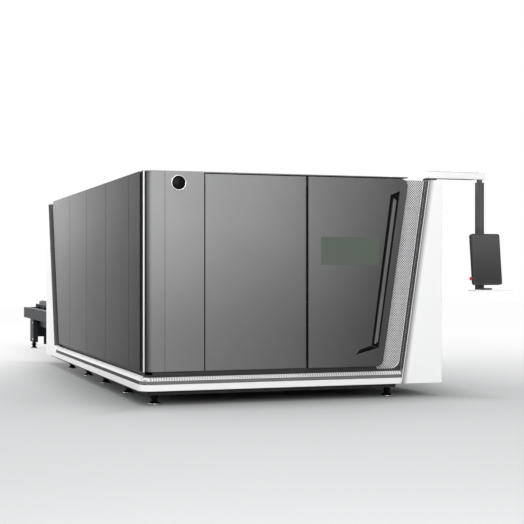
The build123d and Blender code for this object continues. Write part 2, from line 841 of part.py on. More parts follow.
with BuildPart() as scrap_trays:
    tray_start = bed_front + tie_length + running_gap
    tray_middle = (bed_front + bed_back) / 2
    half_tie = tie_length / 2 + running_gap
    for y0, y1 in ((tray_start, tray_middle - half_tie),
                   (tray_middle + half_tie, bed_back - tie_length - running_gap)):
        block(bed_inner + running_gap, mirrored(bed_inner + running_gap), y0, y1, skirt_bottom,
              skirt_bottom + wall_depth)
finish(scrap_trays, "scrap_trays")

rail_x = (bed_outer + bed_inner) / 2
rail_start = bed_front + 60.0
rail_stop = bed_back - 60.0
with BuildPart() as y_rails:
    for x in (rail_x, mirrored(rail_x)):
        block(x - rail_width / 2, x + rail_width / 2, rail_start, rail_stop, bed_top, bed_top + rail_height)

with BuildPart() as y_racks:
    rack_x = rail_x + rail_width
    for x in (rack_x, mirrored(rack_x)):
        block(x - rail_width / 3, x + rail_width / 3, rail_start, rail_stop, bed_top, bed_top + rail_height)
finish_group((y_rails, y_racks), "y_rails")

with BuildPart() as cabin_rails:
    rail_bottom = rail_top - running_gap - pallet_rail_height
    for x0, x1 in ((bed_inner, bed_inner + pallet_rail),
                   (mirrored(bed_inner + pallet_rail), mirrored(bed_inner))):
        block(x0, x1, bed_front, bed_back, rail_bottom, rail_top - running_gap)
finish(cabin_rails, "cabin_pallet_rails")

# Gantry, carriage and cutting head

beam_front = gantry_y + 90.0
beam_back = beam_front + beam_depth
foot_left = bed_outer + 40.0
foot_right = foot_left + 140.0
foot_front = gantry_y - 60.0
foot_back = beam_back + 110.0
shoe_top = bed_top + rail_height + running_gap + shoe_height
with BuildPart() as gantry:
    block(foot_left, mirrored(foot_left), beam_front, beam_back, beam_bottom, beam_top)

with BuildPart() as gantry_feet:
    for x0, x1 in ((foot_left, foot_right), (mirrored(foot_right), mirrored(foot_left))):
        block(x0, x1, foot_front, foot_back, shoe_top, beam_bottom)

shoe_length = 100.0
with BuildPart() as shoes:
    for x in (rail_x, mirrored(rail_x)):
        for y0 in (foot_front + 20.0, foot_back - 20.0 - shoe_length):
            block(x - rail_width, x + rail_width / 2, y0, y0 + shoe_length, shoe_top - shoe_height, shoe_top)
finish_group((gantry, gantry_feet, shoes), "gantry_beam")

motor_radius = 45.0
motor_height = 255.0
with BuildPart() as motors:
    with Locations(*[(left_x + x, front_y + beam_back + motor_radius + 2 * edge_round,
                      beam_bottom + motor_height / 2) for x in (rail_x, mirrored(rail_x))]):
        Cylinder(motor_radius, motor_height)
finish(motors, "gantry_motors")

x_rail_depth = 20.0
with BuildPart() as x_rails:
    for z in (beam_bottom + 35.0, beam_top - 55.0):
        block(foot_right, mirrored(foot_right), beam_front - x_rail_depth, beam_front, z, z + x_rail_depth)
finish(x_rails, "x_rails")

plate_half = 110.0
plate_back = beam_front - x_rail_depth - running_gap
plate_front = plate_back - 35.0
with BuildPart() as carriage:
    plate_left, plate_right = head_x - plate_half, head_x + plate_half
    block(plate_left, plate_right, plate_front, plate_back, beam_bottom + 15.0, beam_top + 45.0)
    block(plate_left, plate_right, plate_back, beam_back, beam_top + running_gap, beam_top + 45.0)
    fillet(carriage.edges().filter_by(Axis.Z), edge_round)
finish(carriage, "carriage")

head_half = 45.0
head_box_low = nozzle_z + 190.0
head_box_high = head_box_low + 260.0
head_y = plate_front - running_gap - head_half
with BuildPart() as head:
    block(head_x - head_half, head_x + head_half, head_y - head_half, head_y + head_half,
          head_box_low, head_box_high)
    with BuildSketch(Plane.XZ.offset(-(front_y + head_y))) as barrel:
        with BuildLine():
            Polyline(
                (left_x + head_x, head_box_low),
                (left_x + head_x, nozzle_z),
                (left_x + head_x + 4.0, nozzle_z),
                (left_x + head_x + 14.0, nozzle_z + 30.0),
                (left_x + head_x + 20.0, nozzle_z + 36.0),
                (left_x + head_x + 34.0, nozzle_z + 90.0),
                (left_x + head_x + 34.0, head_box_low),
                close=True,
            )
        make_face()
    revolve(barrel.sketch, axis=Axis((left_x + head_x, front_y + head_y, 0), (0, 0, 1)))
finish(head, "cutting_head")

# Exchange table

leg_y = [y - leg_length / 2 for y in table_feet_y]
table_sides = ((table_outer, table_outer + table_tube),
               (mirrored(table_outer + table_tube), mirrored(table_outer)))
with BuildPart() as table:
    for x0, x1 in table_sides:
        block(x0, x1, table_start, table_end, table_low, table_high)
    for y in table_feet_y:
        block(table_sides[0][1], table_sides[1][0], y - post_size, y + post_size, skirt_top, lift_stop)

with BuildPart() as table_ends:
    block(table_sides[0][1], table_sides[1][0], table_end - table_tube, table_end, table_low, table_high)
    for x0 in (table_outer, mirrored(table_outer + dock_width)):
        block(x0, x0 + dock_width, cabin_length, table_start, table_low, table_low + 2 * dock_width)

leg_low = 110.0
with BuildPart() as legs:
    for x0, x1 in table_sides:
        for y in leg_y:
            block(x0, x1, y, y + leg_length, leg_low, table_low)
finish(legs, "table_legs")

plate_low = tie_top + 5.0
plate_high = plate_low + 265.0
lift_left = table_outer + table_tube + lift_clear
lift_front = pallet_start - 10.0
lift_back = table_end - table_tube - 50.0
rails_low = (rail_top - running_gap - pallet_rail_height,
             rail_top - level_pitch - running_gap - pallet_rail_height)
with BuildPart() as lift:
    for sign, x in ((1, lift_left), (-1, mirrored(lift_left))):
        block(x, x + sign * lift_plate, lift_front, lift_back, plate_low, plate_high)

with BuildPart() as lift_rails:
    for sign, x in ((1, lift_left), (-1, mirrored(lift_left))):
        inner = x + sign * lift_plate
        for z in rails_low:
            block(inner, inner + sign * pallet_rail, lift_front, lift_back, z, z + pallet_rail_height)

with BuildPart() as lift_beams:
    for y in table_feet_y:
        block(lift_left, mirrored(lift_left), y - post_size, y + 130.0, lift_stop + running_gap, plate_low)

with BuildPart() as guides:
    for sign, x in ((1, lift_left - running_gap), (-1, mirrored(lift_left - running_gap))):
        for y in table_feet_y:
            block(x - sign * (lift_clear - running_gap), x, y - 40.0, y + 40.0, skirt_top + 150.0, table_high)
finish_group((table, table_ends, guides), "table_frame")

barrel_radius = 32.0
rod_radius = 16.0
rod_places = [(left_x + x, front_y + y + post_size + barrel_radius)
              for x in (pallet_side_x + 60.0, mirrored(pallet_side_x + 60.0)) for y in table_feet_y]
with BuildPart() as barrels:
    for x, y in rod_places:
        with Locations((x, y, (foot_stem * 2 + lift_stop - 5.0) / 2)):
            Cylinder(barrel_radius, lift_stop - 5.0 - foot_stem * 2)
            Cylinder(rod_radius + running_gap, lift_stop, mode=Mode.SUBTRACT)
finish(barrels, "lift_cylinders")

rod_low = lift_stop - level_pitch - 15.0
with BuildPart() as rods:
    for x, y in rod_places:
        with Locations((x, y, (rod_low + lift_stop + running_gap) / 2)):
            Cylinder(rod_radius, lift_stop + running_gap - rod_low)
finish_group((lift, lift_rails, lift_beams, rods), "lift_frame")

for level, name in enumerate(("upper", "lower")):
    drop = level * level_pitch
    axle_z = rail_top + wheel_radius - drop
    with BuildPart() as pallet:
        low = pallet_frame_low - drop
        high = pallet_frame_high - drop
        far_x = mirrored(pallet_side_x)
        far_y = pallet_start + pallet_length
        for x0, x1 in ((pallet_side_x, pallet_side_x + pallet_tube), (far_x - pallet_tube, far_x)):
            block(x0, x1, pallet_start, far_y, low, high)

    with BuildPart() as pallet_ends:
        for y in (pallet_start, far_y - pallet_tube):
            block(pallet_side_x + pallet_tube, far_x - pallet_tube, y, y + pallet_tube,
                  low, low + slat_seat / 2)

    with BuildPart() as wheels:
        wheel_step = (pallet_length - 2 * leg_length) / (wheel_count - 1)
        for index in range(wheel_count):
            y = front_y + pallet_start + leg_length + index * wheel_step
            for sign, edge in ((1, pallet_side_x), (-1, far_x)):
                stub = 12.0
                inner = left_x + edge - sign * (stub / 2)
                outer = left_x + edge - sign * (stub + wheel_width / 2)
                with Locations(Location((inner, y, axle_z), (0, 90, 0))):
                    Cylinder(wheel_radius / 3, stub)
                with Locations(Location((outer, y, axle_z), (0, 90, 0))):
                    Cylinder(wheel_radius, wheel_width)
    finish_group((pallet, pallet_ends, wheels), f"{name}_pallet")

    slat_left = pallet_side_x + pallet_tube
    slat_right = mirrored(slat_left)
    tooth = (slat_right - slat_left) / tooth_count
    top = slat_tip - drop
    outline = [(slat_left, low + slat_seat / 2), (slat_right, low + slat_seat / 2)]
    for index in range(tooth_count):
        right = slat_right - index * tooth
        outline += [(right, top - tooth_depth), (right - tooth / 2, top)]
    outline.append((slat_left, top - tooth_depth))
    with BuildPart() as slats:
        slat_step = (pallet_length - pallet_tube) / (slat_count - 1)
        for index in range(slat_count):
            y = pallet_start + pallet_tube / 2 + index * slat_step
            front_prism(outline, y - slat_thickness / 2, y + slat_thickness / 2)
    finish(slats, f"{name}_slats")

# Levelling feet

with BuildPart() as feet:
    stands = [(x, y, frame_bottom) for x in feet_x for y in feet_y]
    stands += [(sum(pair) / 2, y, leg_low) for pair in table_sides for y in table_feet_y]
    for x, y, top in stands:
        with BuildSketch(Plane.XZ.offset(-(front_y + y))) as half_foot:
            with BuildLine():
                Polyline(
                    (left_x + x, 0.0),
                    (left_x + x + foot_pad, 0.0),
                    (left_x + x + foot_pad, foot_pad_height / 2),
                    (left_x + x + foot_stem, 2 * foot_pad_height),
                    (left_x + x + foot_stem, top),
                    (left_x + x, top),
                    close=True,
                )
            make_face()
        revolve(half_foot.sketch, axis=Axis((left_x + x, front_y + y, 0), (0, 0, 1)))
finish(feet, "levelling_feet")

# Console

with BuildPart() as socket:
    with Locations((left_x + pivot_x, front_y + pivot_y, (pillar_top + arm_low) / 2)):
        Cylinder(post_width / 2, arm_low - pillar_top)
finish(socket, "console_socket")

post_x = pivot_x + arm_reach
arm_floor = arm_low + running_gap
with BuildPart() as arm:
    tip = pivot_x - arm_width * 0.72
    end = post_x + post_width / 2
    side = [(tip, arm_floor), (end, arm_floor), (end, arm_high), (tip + arm_width * 0.4, arm_high)]
    front_prism(side, pivot_y - arm_width / 2, pivot_y + arm_width / 2)
    fillet(arm.edges().filter_by(Axis.X), 3 * edge_round)
    fillet(arm.edges().filter_by(Axis.Z).sort_by(Axis.X)[-2:], 3 * edge_round)
finish(arm, "console_arm")

post_low = shelf_z + shelf_thickness + lift_plate
post_front = pivot_y - post_depth / 2
collar_low = arm_low - post_depth / 2
with BuildPart() as post:
    block(post_x - post_width / 2, post_x + post_width / 2, post_front, pivot_y + post_depth / 2,
          post_low, collar_low)
    for x in (post_x - post_width / 4, post_x + post_width / 4):
        block(x - edge_round, x + edge_round, post_front - 1, post_front + edge_round, monitor_z, arm_low,
              Mode.SUBTRACT)
    fillet(post.edges().filter_by(Axis.Z).group_by(Axis.Y)[-1], edge_round)
    with Locations((left_x + post_x, front_y + pivot_y, (collar_low + arm_low) / 2)):
        Cylinder(post_depth / 2, arm_low - collar_low)

shelf_back = shelf_front + shelf_depth
with BuildPart() as shelf_bracket:
    block(post_x - post_width / 2, post_x + post_width / 2, shelf_back - post_depth, pivot_y + post_depth / 2,
          shelf_z + shelf_thickness, post_low)
finish_group((post, shelf_bracket), "console_post")

with BuildPart() as shelf:
    block(post_x - shelf_width / 2, post_x + shelf_width / 2, shelf_front, shelf_back, shelf_z,
          shelf_z + shelf_thickness)
    fillet(shelf.edges().filter_by(Axis.Z), 3 * edge_round)
finish(shelf, "keyboard_shelf")

lean = math.radians(monitor_lean)
monitor_y = post_front - monitor_ahead + monitor_depth / 2
hinge_y = monitor_y + monitor_depth / 2 + hinge_radius + edge_round
with BuildPart() as tilt_bracket:
    with Locations(Location((left_x + post_x, front_y + hinge_y, monitor_z), (0, 90, 0))):
        Cylinder(hinge_radius, post_width)
        Cylinder(pin_radius, post_width + 2 * hinge_radius)
    block(post_x - post_width / 2, post_x + post_width / 2, hinge_y, post_front,
          monitor_z - hinge_radius, monitor_z + hinge_radius)
finish(tilt_bracket, "monitor_bracket")

screen_plane = Plane(
    origin=(left_x + post_x, front_y + monitor_y, monitor_z),
    x_dir=(1, 0, 0),
    z_dir=(0, -math.cos(lean), math.sin(lean)),
)
with BuildPart() as monitor:
    with BuildSketch(screen_plane.offset(-monitor_depth / 2)) as shell:
        RectangleRounded(monitor_width, monitor_height, monitor_round)
    extrude(amount=monitor_depth)
    fillet(monitor.edges().filter_by(GeomType.LINE, reverse=True).group_by(Axis.Y)[0], edge_round)
    with BuildSketch(screen_plane.offset(monitor_depth / 2 - sheet)) as pocket:
        RectangleRounded(monitor_width - monitor_round, monitor_height - monitor_round, monitor_round / 2)
    extrude(amount=2 * sheet, mode=Mode.SUBTRACT)
    for sign in (-1, 1):
        near = post_x + sign * (post_width / 2 + running_gap)
        ear = near + sign * 12.0
        block(near, ear, monitor_y + sheet, hinge_y + hinge_radius, monitor_z - hinge_radius,
              monitor_z + hinge_radius)
    with Locations(Location((left_x + post_x, front_y + hinge_y, monitor_z), (0, 90, 0))):
        Cylinder(pin_radius + pin_gap, post_width + 4 * hinge_radius, mode=Mode.SUBTRACT)
finish(monitor, "monitor_housing")

with BuildPart() as screen:
    with BuildSketch(screen_plane.offset(monitor_depth / 2 - sheet)) as glass_outline:
        RectangleRounded(monitor_width - monitor_round, monitor_height - monitor_round, monitor_round / 2)
    extrude(amount=sheet)
finish(screen, "monitor_screen")

stop_z = 1235.0
stop_y = monitor_y + (stop_z - monitor_z) * math.tan(lean)
stop_x = post_x - monitor_width / 2
collar = 8.0
with BuildPart() as stop_base:
    with Locations(Location((left_x + stop_x - collar / 2, front_y + stop_y, stop_z), (0, 90, 0))):
        Cylinder(button_radius + sheet, collar)
        Cylinder(button_radius / 2 + running_gap, collar, mode=Mode.SUBTRACT)
finish(stop_base, "stop_button_base")

with BuildPart() as stop_button:
    cap_x = stop_x - collar - button_travel - running_gap
    with Locations(Location((left_x + cap_x - 2 * collar / 2, front_y + stop_y, stop_z), (0, 90, 0))):
        Cylinder(button_radius, 2 * collar)
    fillet(stop_button.edges().group_by(Axis.X)[0], edge_round)
    stem = button_travel + sheet
    with Locations(Location((left_x + cap_x + stem / 2, front_y + stop_y, stop_z), (0, 90, 0))):
        Cylinder(button_radius / 2, stem)
finish(stop_button, "stop_button")
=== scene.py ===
"""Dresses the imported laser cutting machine: finishes, fine fittings, floor, light and camera.

Lengths are in metres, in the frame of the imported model: X right along the front, Y towards
the exchange table, Z up.
"""

import logging
import math
from dataclasses import dataclass
from enum import Enum
from typing import Any, Optional, Sequence

import bmesh
import bpy
import numpy as np
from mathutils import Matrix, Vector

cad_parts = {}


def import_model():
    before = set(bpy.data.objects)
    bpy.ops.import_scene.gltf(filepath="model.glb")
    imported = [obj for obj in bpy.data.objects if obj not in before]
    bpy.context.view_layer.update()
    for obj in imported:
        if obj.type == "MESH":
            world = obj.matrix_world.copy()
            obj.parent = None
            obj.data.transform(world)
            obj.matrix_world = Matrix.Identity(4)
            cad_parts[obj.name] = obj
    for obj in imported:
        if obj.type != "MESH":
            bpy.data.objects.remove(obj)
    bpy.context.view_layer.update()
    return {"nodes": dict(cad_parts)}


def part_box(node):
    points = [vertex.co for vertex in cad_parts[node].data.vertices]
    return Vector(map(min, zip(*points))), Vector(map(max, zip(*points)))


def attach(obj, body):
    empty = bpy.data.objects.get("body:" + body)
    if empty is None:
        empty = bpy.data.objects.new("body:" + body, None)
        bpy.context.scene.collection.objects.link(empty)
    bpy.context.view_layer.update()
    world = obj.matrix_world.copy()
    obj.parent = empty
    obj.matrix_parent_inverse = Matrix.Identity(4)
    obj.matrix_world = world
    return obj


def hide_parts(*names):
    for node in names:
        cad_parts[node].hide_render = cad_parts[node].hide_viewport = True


log = logging.getLogger("machine")

Colour = tuple[float, float, float]
Point = tuple[float, float, float]
Outline = Sequence[tuple[float, float]]
Socket = bpy.types.NodeSocket

STEP_BLUR = 0.001  # how far a painted step is softened, in metres


class Axis(Enum):
    """A direction that a turned or pressed shape stands along."""

    X = (1, 2, 0)
    Y = (2, 0, 1)
    Z = (0, 1, 2)


class ShaderTree:
    """Adds nodes to one node tree and joins their sockets."""

    def __init__(self, tree: bpy.types.NodeTree) -> None:
        """Keeps the tree.

        Args:
            tree: the node tree of a material, a world or a group.
        """
        self.tree = tree

    def add(self, kind: str, **settings: Any) -> bpy.types.Node:
        """Adds a node and sets its properties.

        Args:
            kind: the node's type name.
            settings: properties of the node by name.

        Returns:
            The new node.
        """
        node = self.tree.nodes.new(kind)
        for key, value in settings.items():
            setattr(node, key, value)
        return node

    def join(self, source: Any, target: Socket) -> None:
        """Feeds a socket from another socket, or sets it to a plain value.

        Args:
            source: a socket or a value.
            target: the socket to feed.
        """
        if isinstance(source, Socket):
            self.tree.links.new(source, target)
        else:
            target.default_value = source

    def math(self, operation: str, first: Any, second: Any = 0.0, clamp: bool = False) -> Socket:
        """Does one sum on two numbers.

        Args:
            operation: the name of the sum, such as MULTIPLY.
            first: a socket or a number.
            second: a socket or a number.
            clamp: keeps the result between 0 and 1.

        Returns:
            The result's socket.
        """
        node = self.add("ShaderNodeMath", operation=operation, use_clamp=clamp)
        self.join(first, node.inputs[0])
        self.join(second, node.inputs[1])
        return node.outputs[0]

    def remap(self, value: Any, low: float, high: float, start: Any, end: Any) -> Socket:
        """Carries a value from one range to another, held at both ends.

        Args:
            value: the socket to read.
            low: the value that gives start.
            high: the value that gives end.
            start: result at low.
            end: result at high.

        Returns:
            The result's socket.
        """
        node = self.add("ShaderNodeMapRange", interpolation_type="SMOOTHSTEP")
        keys = ("Value", "From Min", "From Max", "To Min", "To Max")
        for key, item in zip(keys, (value, low, high, start, end)):
            self.join(item, node.inputs[key])
        return node.outputs["Result"]

    def mix(self, factor: Any, first: Any, second: Any, blend: str = "MIX") -> Socket:
        """Mixes two colours.

        Args:
            factor: share of the second colour.
            first: a socket or a colour of four numbers.
            second: a socket or a colour of four numbers.
            blend: the way that they are mixed.

        Returns:
            The mixed colour's socket.
        """
        node = self.add("ShaderNodeMix", data_type="RGBA", blend_type=blend)
        self.join(factor, node.inputs[0])
        self.join(first, node.inputs[6])
        self.join(second, node.inputs[7])
        return node.outputs[2]

    def scale(self, colour: Any, amount: Any) -> Socket:
        """Multiplies a colour by one number.

        Args:
            colour: a socket or a colour of four numbers.
            amount: the number's socket.

        Returns:
            The scaled colour's socket.
        """
        combine = self.add("ShaderNodeCombineColor")
        for socket in combine.inputs[:3]:
            self.join(amount, socket)
        return self.mix(1.0, colour, combine.outputs[0], "MULTIPLY")

    def place(self) -> Socket:
        """Gives the place on the object, in metres."""
        return self.add("ShaderNodeTexCoord").outputs["Object"]

    def facing(self) -> Sequence[Socket]:
        """Gives the X, Y and Z of the way that the surface faces."""
        return self.split(self.add("ShaderNodeNewGeometry").outputs["Normal"])

    def outside(self, low: float, high: float, below: float, above: float) -> Socket:
        """Gives a share that is 0 between two heights and steps up under the one and over the other.

        Args:
            low: the lower height, in metres.
            high: the upper height, in metres.
            below: share under the lower height.
            above: share over the upper height.

        Returns:
            The share's socket.
        """
        height = self.split(self.place())[2]
        under = self.remap(height, low - STEP_BLUR, low + STEP_BLUR, below, 0.0)
        over = self.remap(height, high - STEP_BLUR, high + STEP_BLUR, 0.0, above)
        return self.math("MAXIMUM", under, over)

    def split(self, vector: Socket) -> Sequence[Socket]:
        """Splits a vector into its three numbers.

        Args:
            vector: the vector's socket.

        Returns:
            The sockets of its X, Y and Z.
        """
        node = self.add("ShaderNodeSeparateXYZ")
        self.join(vector, node.inputs[0])
        return node.outputs

    def noise(self, vector: Any, scale: Any, detail: float = 2.0, roughness: float = 0.5) -> Socket:
        """Gives a cloudy pattern from 0 to 1.

        Args:
            vector: the place that it is read at.
            scale: cells to the metre.
            detail: number of finer layers.
            roughness: strength of the finer layers.

        Returns:
            The pattern's socket.
        """
        node = self.add("ShaderNodeTexNoise")
        self.join(vector, node.inputs["Vector"])
        self.join(scale, node.inputs["Scale"])
        node.inputs["Detail"].default_value = detail
        node.inputs["Roughness"].default_value = roughness
        return node.outputs["Fac"]

    def bump(self, height: Any, distance: float) -> Socket:
        """Turns a height into a surface direction.

        Args:
            height: the height pattern.
            distance: metres that a height of 1 stands for.

        Returns:
            The normal's socket.
        """
        node = self.add("ShaderNodeBump")
        self.join(height, node.inputs["Height"])
        node.inputs["Distance"].default_value = distance
        node.inputs["Strength"].default_value = 1.0
        return node.outputs["Normal"]


def grey(level: float) -> tuple[float, float, float, float]:
    """Gives an opaque grey of one level."""
    return (level, level, level, 1.0)


def opaque(colour: Colour) -> tuple[float, float, float, float]:
    """Adds full opacity to a colour."""
    return (*colour, 1.0)


class Effects:
    """Shader groups that several finishes share, each built once."""

    @staticmethod
    def new_group(name: str, inputs: dict[str, float], outputs: Sequence[str]) -> tuple[ShaderTree, Any, Any]:
        """Starts a group with number inputs and number outputs.

        Args:
            name: the group's name.
            inputs: default value of each input by name.
            outputs: names of the outputs.

        Returns:
            The group's tree, its input sockets and its output sockets.
        """
        group = bpy.data.node_groups.new(name, "ShaderNodeTree")
        for key, value in inputs.items():
            socket = group.interface.new_socket(key, in_out="INPUT", socket_type="NodeSocketFloat")
            socket.default_value = value
        for key in outputs:
            group.interface.new_socket(key, in_out="OUTPUT", socket_type="NodeSocketFloat")
        shader = ShaderTree(group)
        return shader, shader.add("NodeGroupInput").outputs, shader.add("NodeGroupOutput").inputs

    def __init__(self) -> None:
        """Builds every group."""
        self.grain = self.build_grain()
        self.dust = self.build_dust()
        self.holes = self.build_holes()
        self.scuffs = self.build_scuffs()

    def build_grain(self) -> bpy.types.NodeTree:
        """Powder coat: fine peel over a slow cloud.

        Height is 0.8 of a fine noise and 0.2 of a coarse one, and cloud is a slow noise.

        Returns:
            The group.
        """
        shader, given, made = self.new_group("powder_grain", {"Scale": 400.0}, ("Height", "Cloud"))
        place = shader.place()
        fine = shader.noise(place, given["Scale"], 3.0)
        coarse = shader.noise(place, shader.math("MULTIPLY", given["Scale"], 0.2), 1.0)
        height = shader.math("ADD", shader.math("MULTIPLY", fine, 0.8), shader.math("MULTIPLY", coarse, 0.2))
        shader.join(height, made["Height"])
        shader.join(shader.noise(place, 1.3, 3.0, 0.55), made["Cloud"])
        return shader.tree

    def build_dust(self) -> bpy.types.NodeTree:
        """Dust: falls from 1 at the floor to 0 at Reach, broken by noise, and lies on faces that look up.

        Returns:
            The group.
        """
        shader, given, made = self.new_group("settled_dust", {"Reach": 0.8, "Amount": 0.2}, ("Mask",))
        place = shader.place()
        height = shader.split(place)[2]
        near_floor = shader.math("SUBTRACT", 1.0, shader.math("DIVIDE", height, given["Reach"]), clamp=True)
        lying = shader.math("MULTIPLY", shader.math("MAXIMUM", shader.facing()[2], 0.0), 0.5)
        spread = shader.math("MAXIMUM", near_floor, lying)
        patchy = shader.remap(shader.noise(place, 9.0, 5.0, 0.65), 0.3, 0.75, 0.25, 1.0)
        mask = shader.math("MULTIPLY", shader.math("MULTIPLY", spread, patchy), given["Amount"])
        shader.join(mask, made["Mask"])
        return shader.tree

    def build_holes(self) -> bpy.types.NodeTree:
        """Round holes on a diagonal grid: Mask is 1 where the distance to the cell's middle is under Hole.

        Returns:
            The group.
        """
        shader, given, made = self.new_group("round_holes", {"Pitch": 0.02, "Hole": 0.32}, ("Mask", "Height"))
        east, north, up = shader.split(shader.place())
        along = shader.math("ADD", east, north)
        offsets = []
        for operation in ("ADD", "SUBTRACT"):
            cells = shader.math("DIVIDE", shader.math(operation, along, up), given["Pitch"])
            offset = shader.math("SUBTRACT", shader.math("FRACT", cells), 0.5)
            offsets.append(shader.math("MULTIPLY", offset, offset))
        distance = shader.math("SQRT", shader.math("ADD", *offsets))
        edge = shader.math("SUBTRACT", given["Hole"], distance)
        mask = shader.remap(edge, -0.03, 0.03, 0.0, 1.0)
        shader.join(mask, made["Mask"])
        shader.join(shader.math("SUBTRACT", 1.0, mask), made["Height"])
        return shader.tree

    def build_scuffs(self) -> bpy.types.NodeTree:
        """Light scratches: noise stretched one way, kept only above a threshold.

        Returns:
            The group.
        """
        shader, given, made = self.new_group("light_scuffs", {"Scale": 30.0, "Amount": 0.3}, ("Mask",))
        mapping = shader.add("ShaderNodeMapping")
        shader.join(shader.place(), mapping.inputs["Vector"])
        mapping.inputs["Scale"].default_value = (1.0, 1.0, 9.0)
        mapping.inputs["Rotation"].default_value = (0.3, 0.2, 0.5)
        streak = shader.noise(mapping.outputs["Vector"], given["Scale"], 4.0, 0.7)
        kept = shader.remap(streak, 0.6, 0.72, 0.0, 1.0)
        shader.join(shader.math("MULTIPLY", kept, given["Amount"]), made["Mask"])
        return shader.tree

    def use(self, shader: ShaderTree, group: bpy.types.NodeTree, **values: float) -> Any:
        """Places a group in a material.

        Args:
            shader: the material's tree.
            group: the group to place.
            values: values of its inputs, by name.

        Returns:
            The outputs of the placed group.
        """
        node = shader.add("ShaderNodeGroup", node_tree=group)
        for key, value in values.items():
            node.inputs[key].default_value = value
        return node.outputs


def new_material(name: str) -> tuple[bpy.types.Material, ShaderTree, Any]:
    """Starts a material with one Principled shader.

    Args:
        name: the material's name.

    Returns:
        The material, its tree and the shader's inputs.
    """
    material = bpy.data.materials.new(name)
    material.use_nodes = True
    shader = ShaderTree(material.node_tree)
    principled = next(node for node in material.node_tree.nodes if node.type == "BSDF_PRINCIPLED")
    return material, shader, principled.inputs


@dataclass(frozen=True)
class Paint:
    """Powder coated sheet: one colour, a little cloud, a peel and some dust.

    With a shade_below_height, painted shade makes it nearly black under that height and over the height
    shade_above_height.
    """

    name: str
    colour: Colour
    roughness: float = 0.45
    specular: float = 0.35
    grain: float = 420.0
    depth: float = 0.00012
    dust: float = 0.15
    reach: float = 0.7
    cloud: float = 0.10
    dust_colour: Colour = (0.42, 0.41, 0.39)
    scuffs: float = 0.0
    shade_below_height: float = 0.0
    shade_above_height: float = 0.0
    ior: float = 1.5

    def base(self, shader: ShaderTree) -> Any:
        """Gives the colour before cloud and dust."""
        return opaque(self.colour)

    def make(self, effects: Effects) -> bpy.types.Material:
        """Builds the material.

        Args:
            effects: the shared groups.

        Returns:
            The material.
        """
        material, shader, made = new_material(self.name)
        grain = effects.use(shader, effects.grain, Scale=self.grain)
        dust = effects.use(shader, effects.dust, Reach=self.reach, Amount=self.dust)["Mask"]
        shade = shader.remap(grain["Cloud"], 0.25, 0.75, 1.0 - self.cloud, 1.0 + self.cloud)
        colour = shader.scale(self.base(shader), shade)
        colour = shader.mix(dust, colour, opaque(self.dust_colour))
        if self.shade_below_height:
            # Painted shade: the strip under shade_below_height and the recess over shade_above_height are
            # painted nearly black.
            dark = shader.outside(self.shade_below_height, self.shade_above_height, 1.0, 1.0)
            colour = shader.mix(dark, colour, grey(0.012))
        rough = shader.math("ADD", shader.math("MULTIPLY", grain["Cloud"], 0.10), self.roughness - 0.05)
        rough = shader.math("ADD", rough, shader.math("MULTIPLY", dust, 0.35), clamp=True)
        if self.scuffs:
            mask = effects.use(shader, effects.scuffs, Scale=26.0, Amount=self.scuffs)["Mask"]
            colour = shader.mix(mask, colour, grey(0.5))
            rough = shader.math("SUBTRACT", rough, shader.math("MULTIPLY", mask, 0.15), clamp=True)
        shader.join(colour, made["Base Color"])
        shader.join(rough, made["Roughness"])
        made["Specular IOR Level"].default_value = self.specular
        made["IOR"].default_value = self.ior
        shader.join(shader.bump(grain["Height"], self.depth), made["Normal"])
        return material


@dataclass(frozen=True)
class GradedPaint(Paint):
    """Cabin paint with painted light and shade: its tone runs along each side of the cabin, as satin sheet
    does under one long lamp.

    A painted light level is given at a few places along the front or the side. The gains scale it from low to
    high, so the paint is painted darker towards the bottom.
    """

    front_light_levels: Outline = ((-1.95, 0.31), (-0.85, 0.225), (0.75, 0.075))
    side_light_levels: Outline = ((-5.1, 0.016), (-2.6, 0.098), (0.6, 0.235))
    roof_light_level: float = 0.20
    top_gain: float = 1.28
    low_gain: float = 0.66

    def tone(self, shader: ShaderTree, value: Any, tones: Outline) -> Socket:
        """Reads a tone along one axis, straight between its places.

        Args:
            shader: the material's tree.
            value: the place along the axis.
            tones: pairs of a place and the tone there.

        Returns:
            The tone's socket.
        """
        ramp = shader.add("ShaderNodeValToRGB")
        low, high = tones[0][0], tones[-1][0]
        elements = ramp.color_ramp.elements
        for index, (place, level) in enumerate(tones):
            share = (place - low) / (high - low)
            element = elements[index] if index < 2 else elements.new(share)
            element.position = share
            element.color = grey(level)
        share = shader.math("DIVIDE", shader.math("SUBTRACT", value, low), high - low, clamp=True)
        shader.join(share, ramp.inputs[0])
        return ramp.outputs[0]

    def base(self, shader: ShaderTree) -> Any:
        """Mixes the front's and the side's painted light by the way that the sheet faces, paints faces turned
        right and faces that look up to their own levels, and darkens it downwards as painted shade.

        Args:
            shader: the material's tree.

        Returns:
            The colour's socket.
        """
        east, north, up = shader.split(shader.place())
        facing = shader.facing()
        sideways = shader.remap(shader.math("ABSOLUTE", facing[0]), 0.15, 0.85, 0.0, 1.0)
        upwards = shader.remap(shader.math("ABSOLUTE", facing[2]), 0.5, 0.9, 0.0, 1.0)
        front = self.tone(shader, east, self.front_light_levels)
        side = self.tone(shader, north, self.side_light_levels)
        tone = shader.mix(sideways, front, side)
        # Painted light: faces turned to the right are painted lighter.
        rightwards = shader.math("MULTIPLY", shader.math("MAXIMUM", facing[0], 0.0), 0.12)
        tone = shader.mix(rightwards, tone, grey(0.45))
        # Painted shade: darker towards the bottom, lighter towards the top.
        tone = shader.scale(tone, shader.remap(up, 0.35, 2.25, self.low_gain, self.top_gain))
        # Painted light level for faces that look up.
        tone = shader.mix(upwards, tone, grey(self.roof_light_level))
        return shader.mix(1.0, tone, opaque(self.colour), "MULTIPLY")


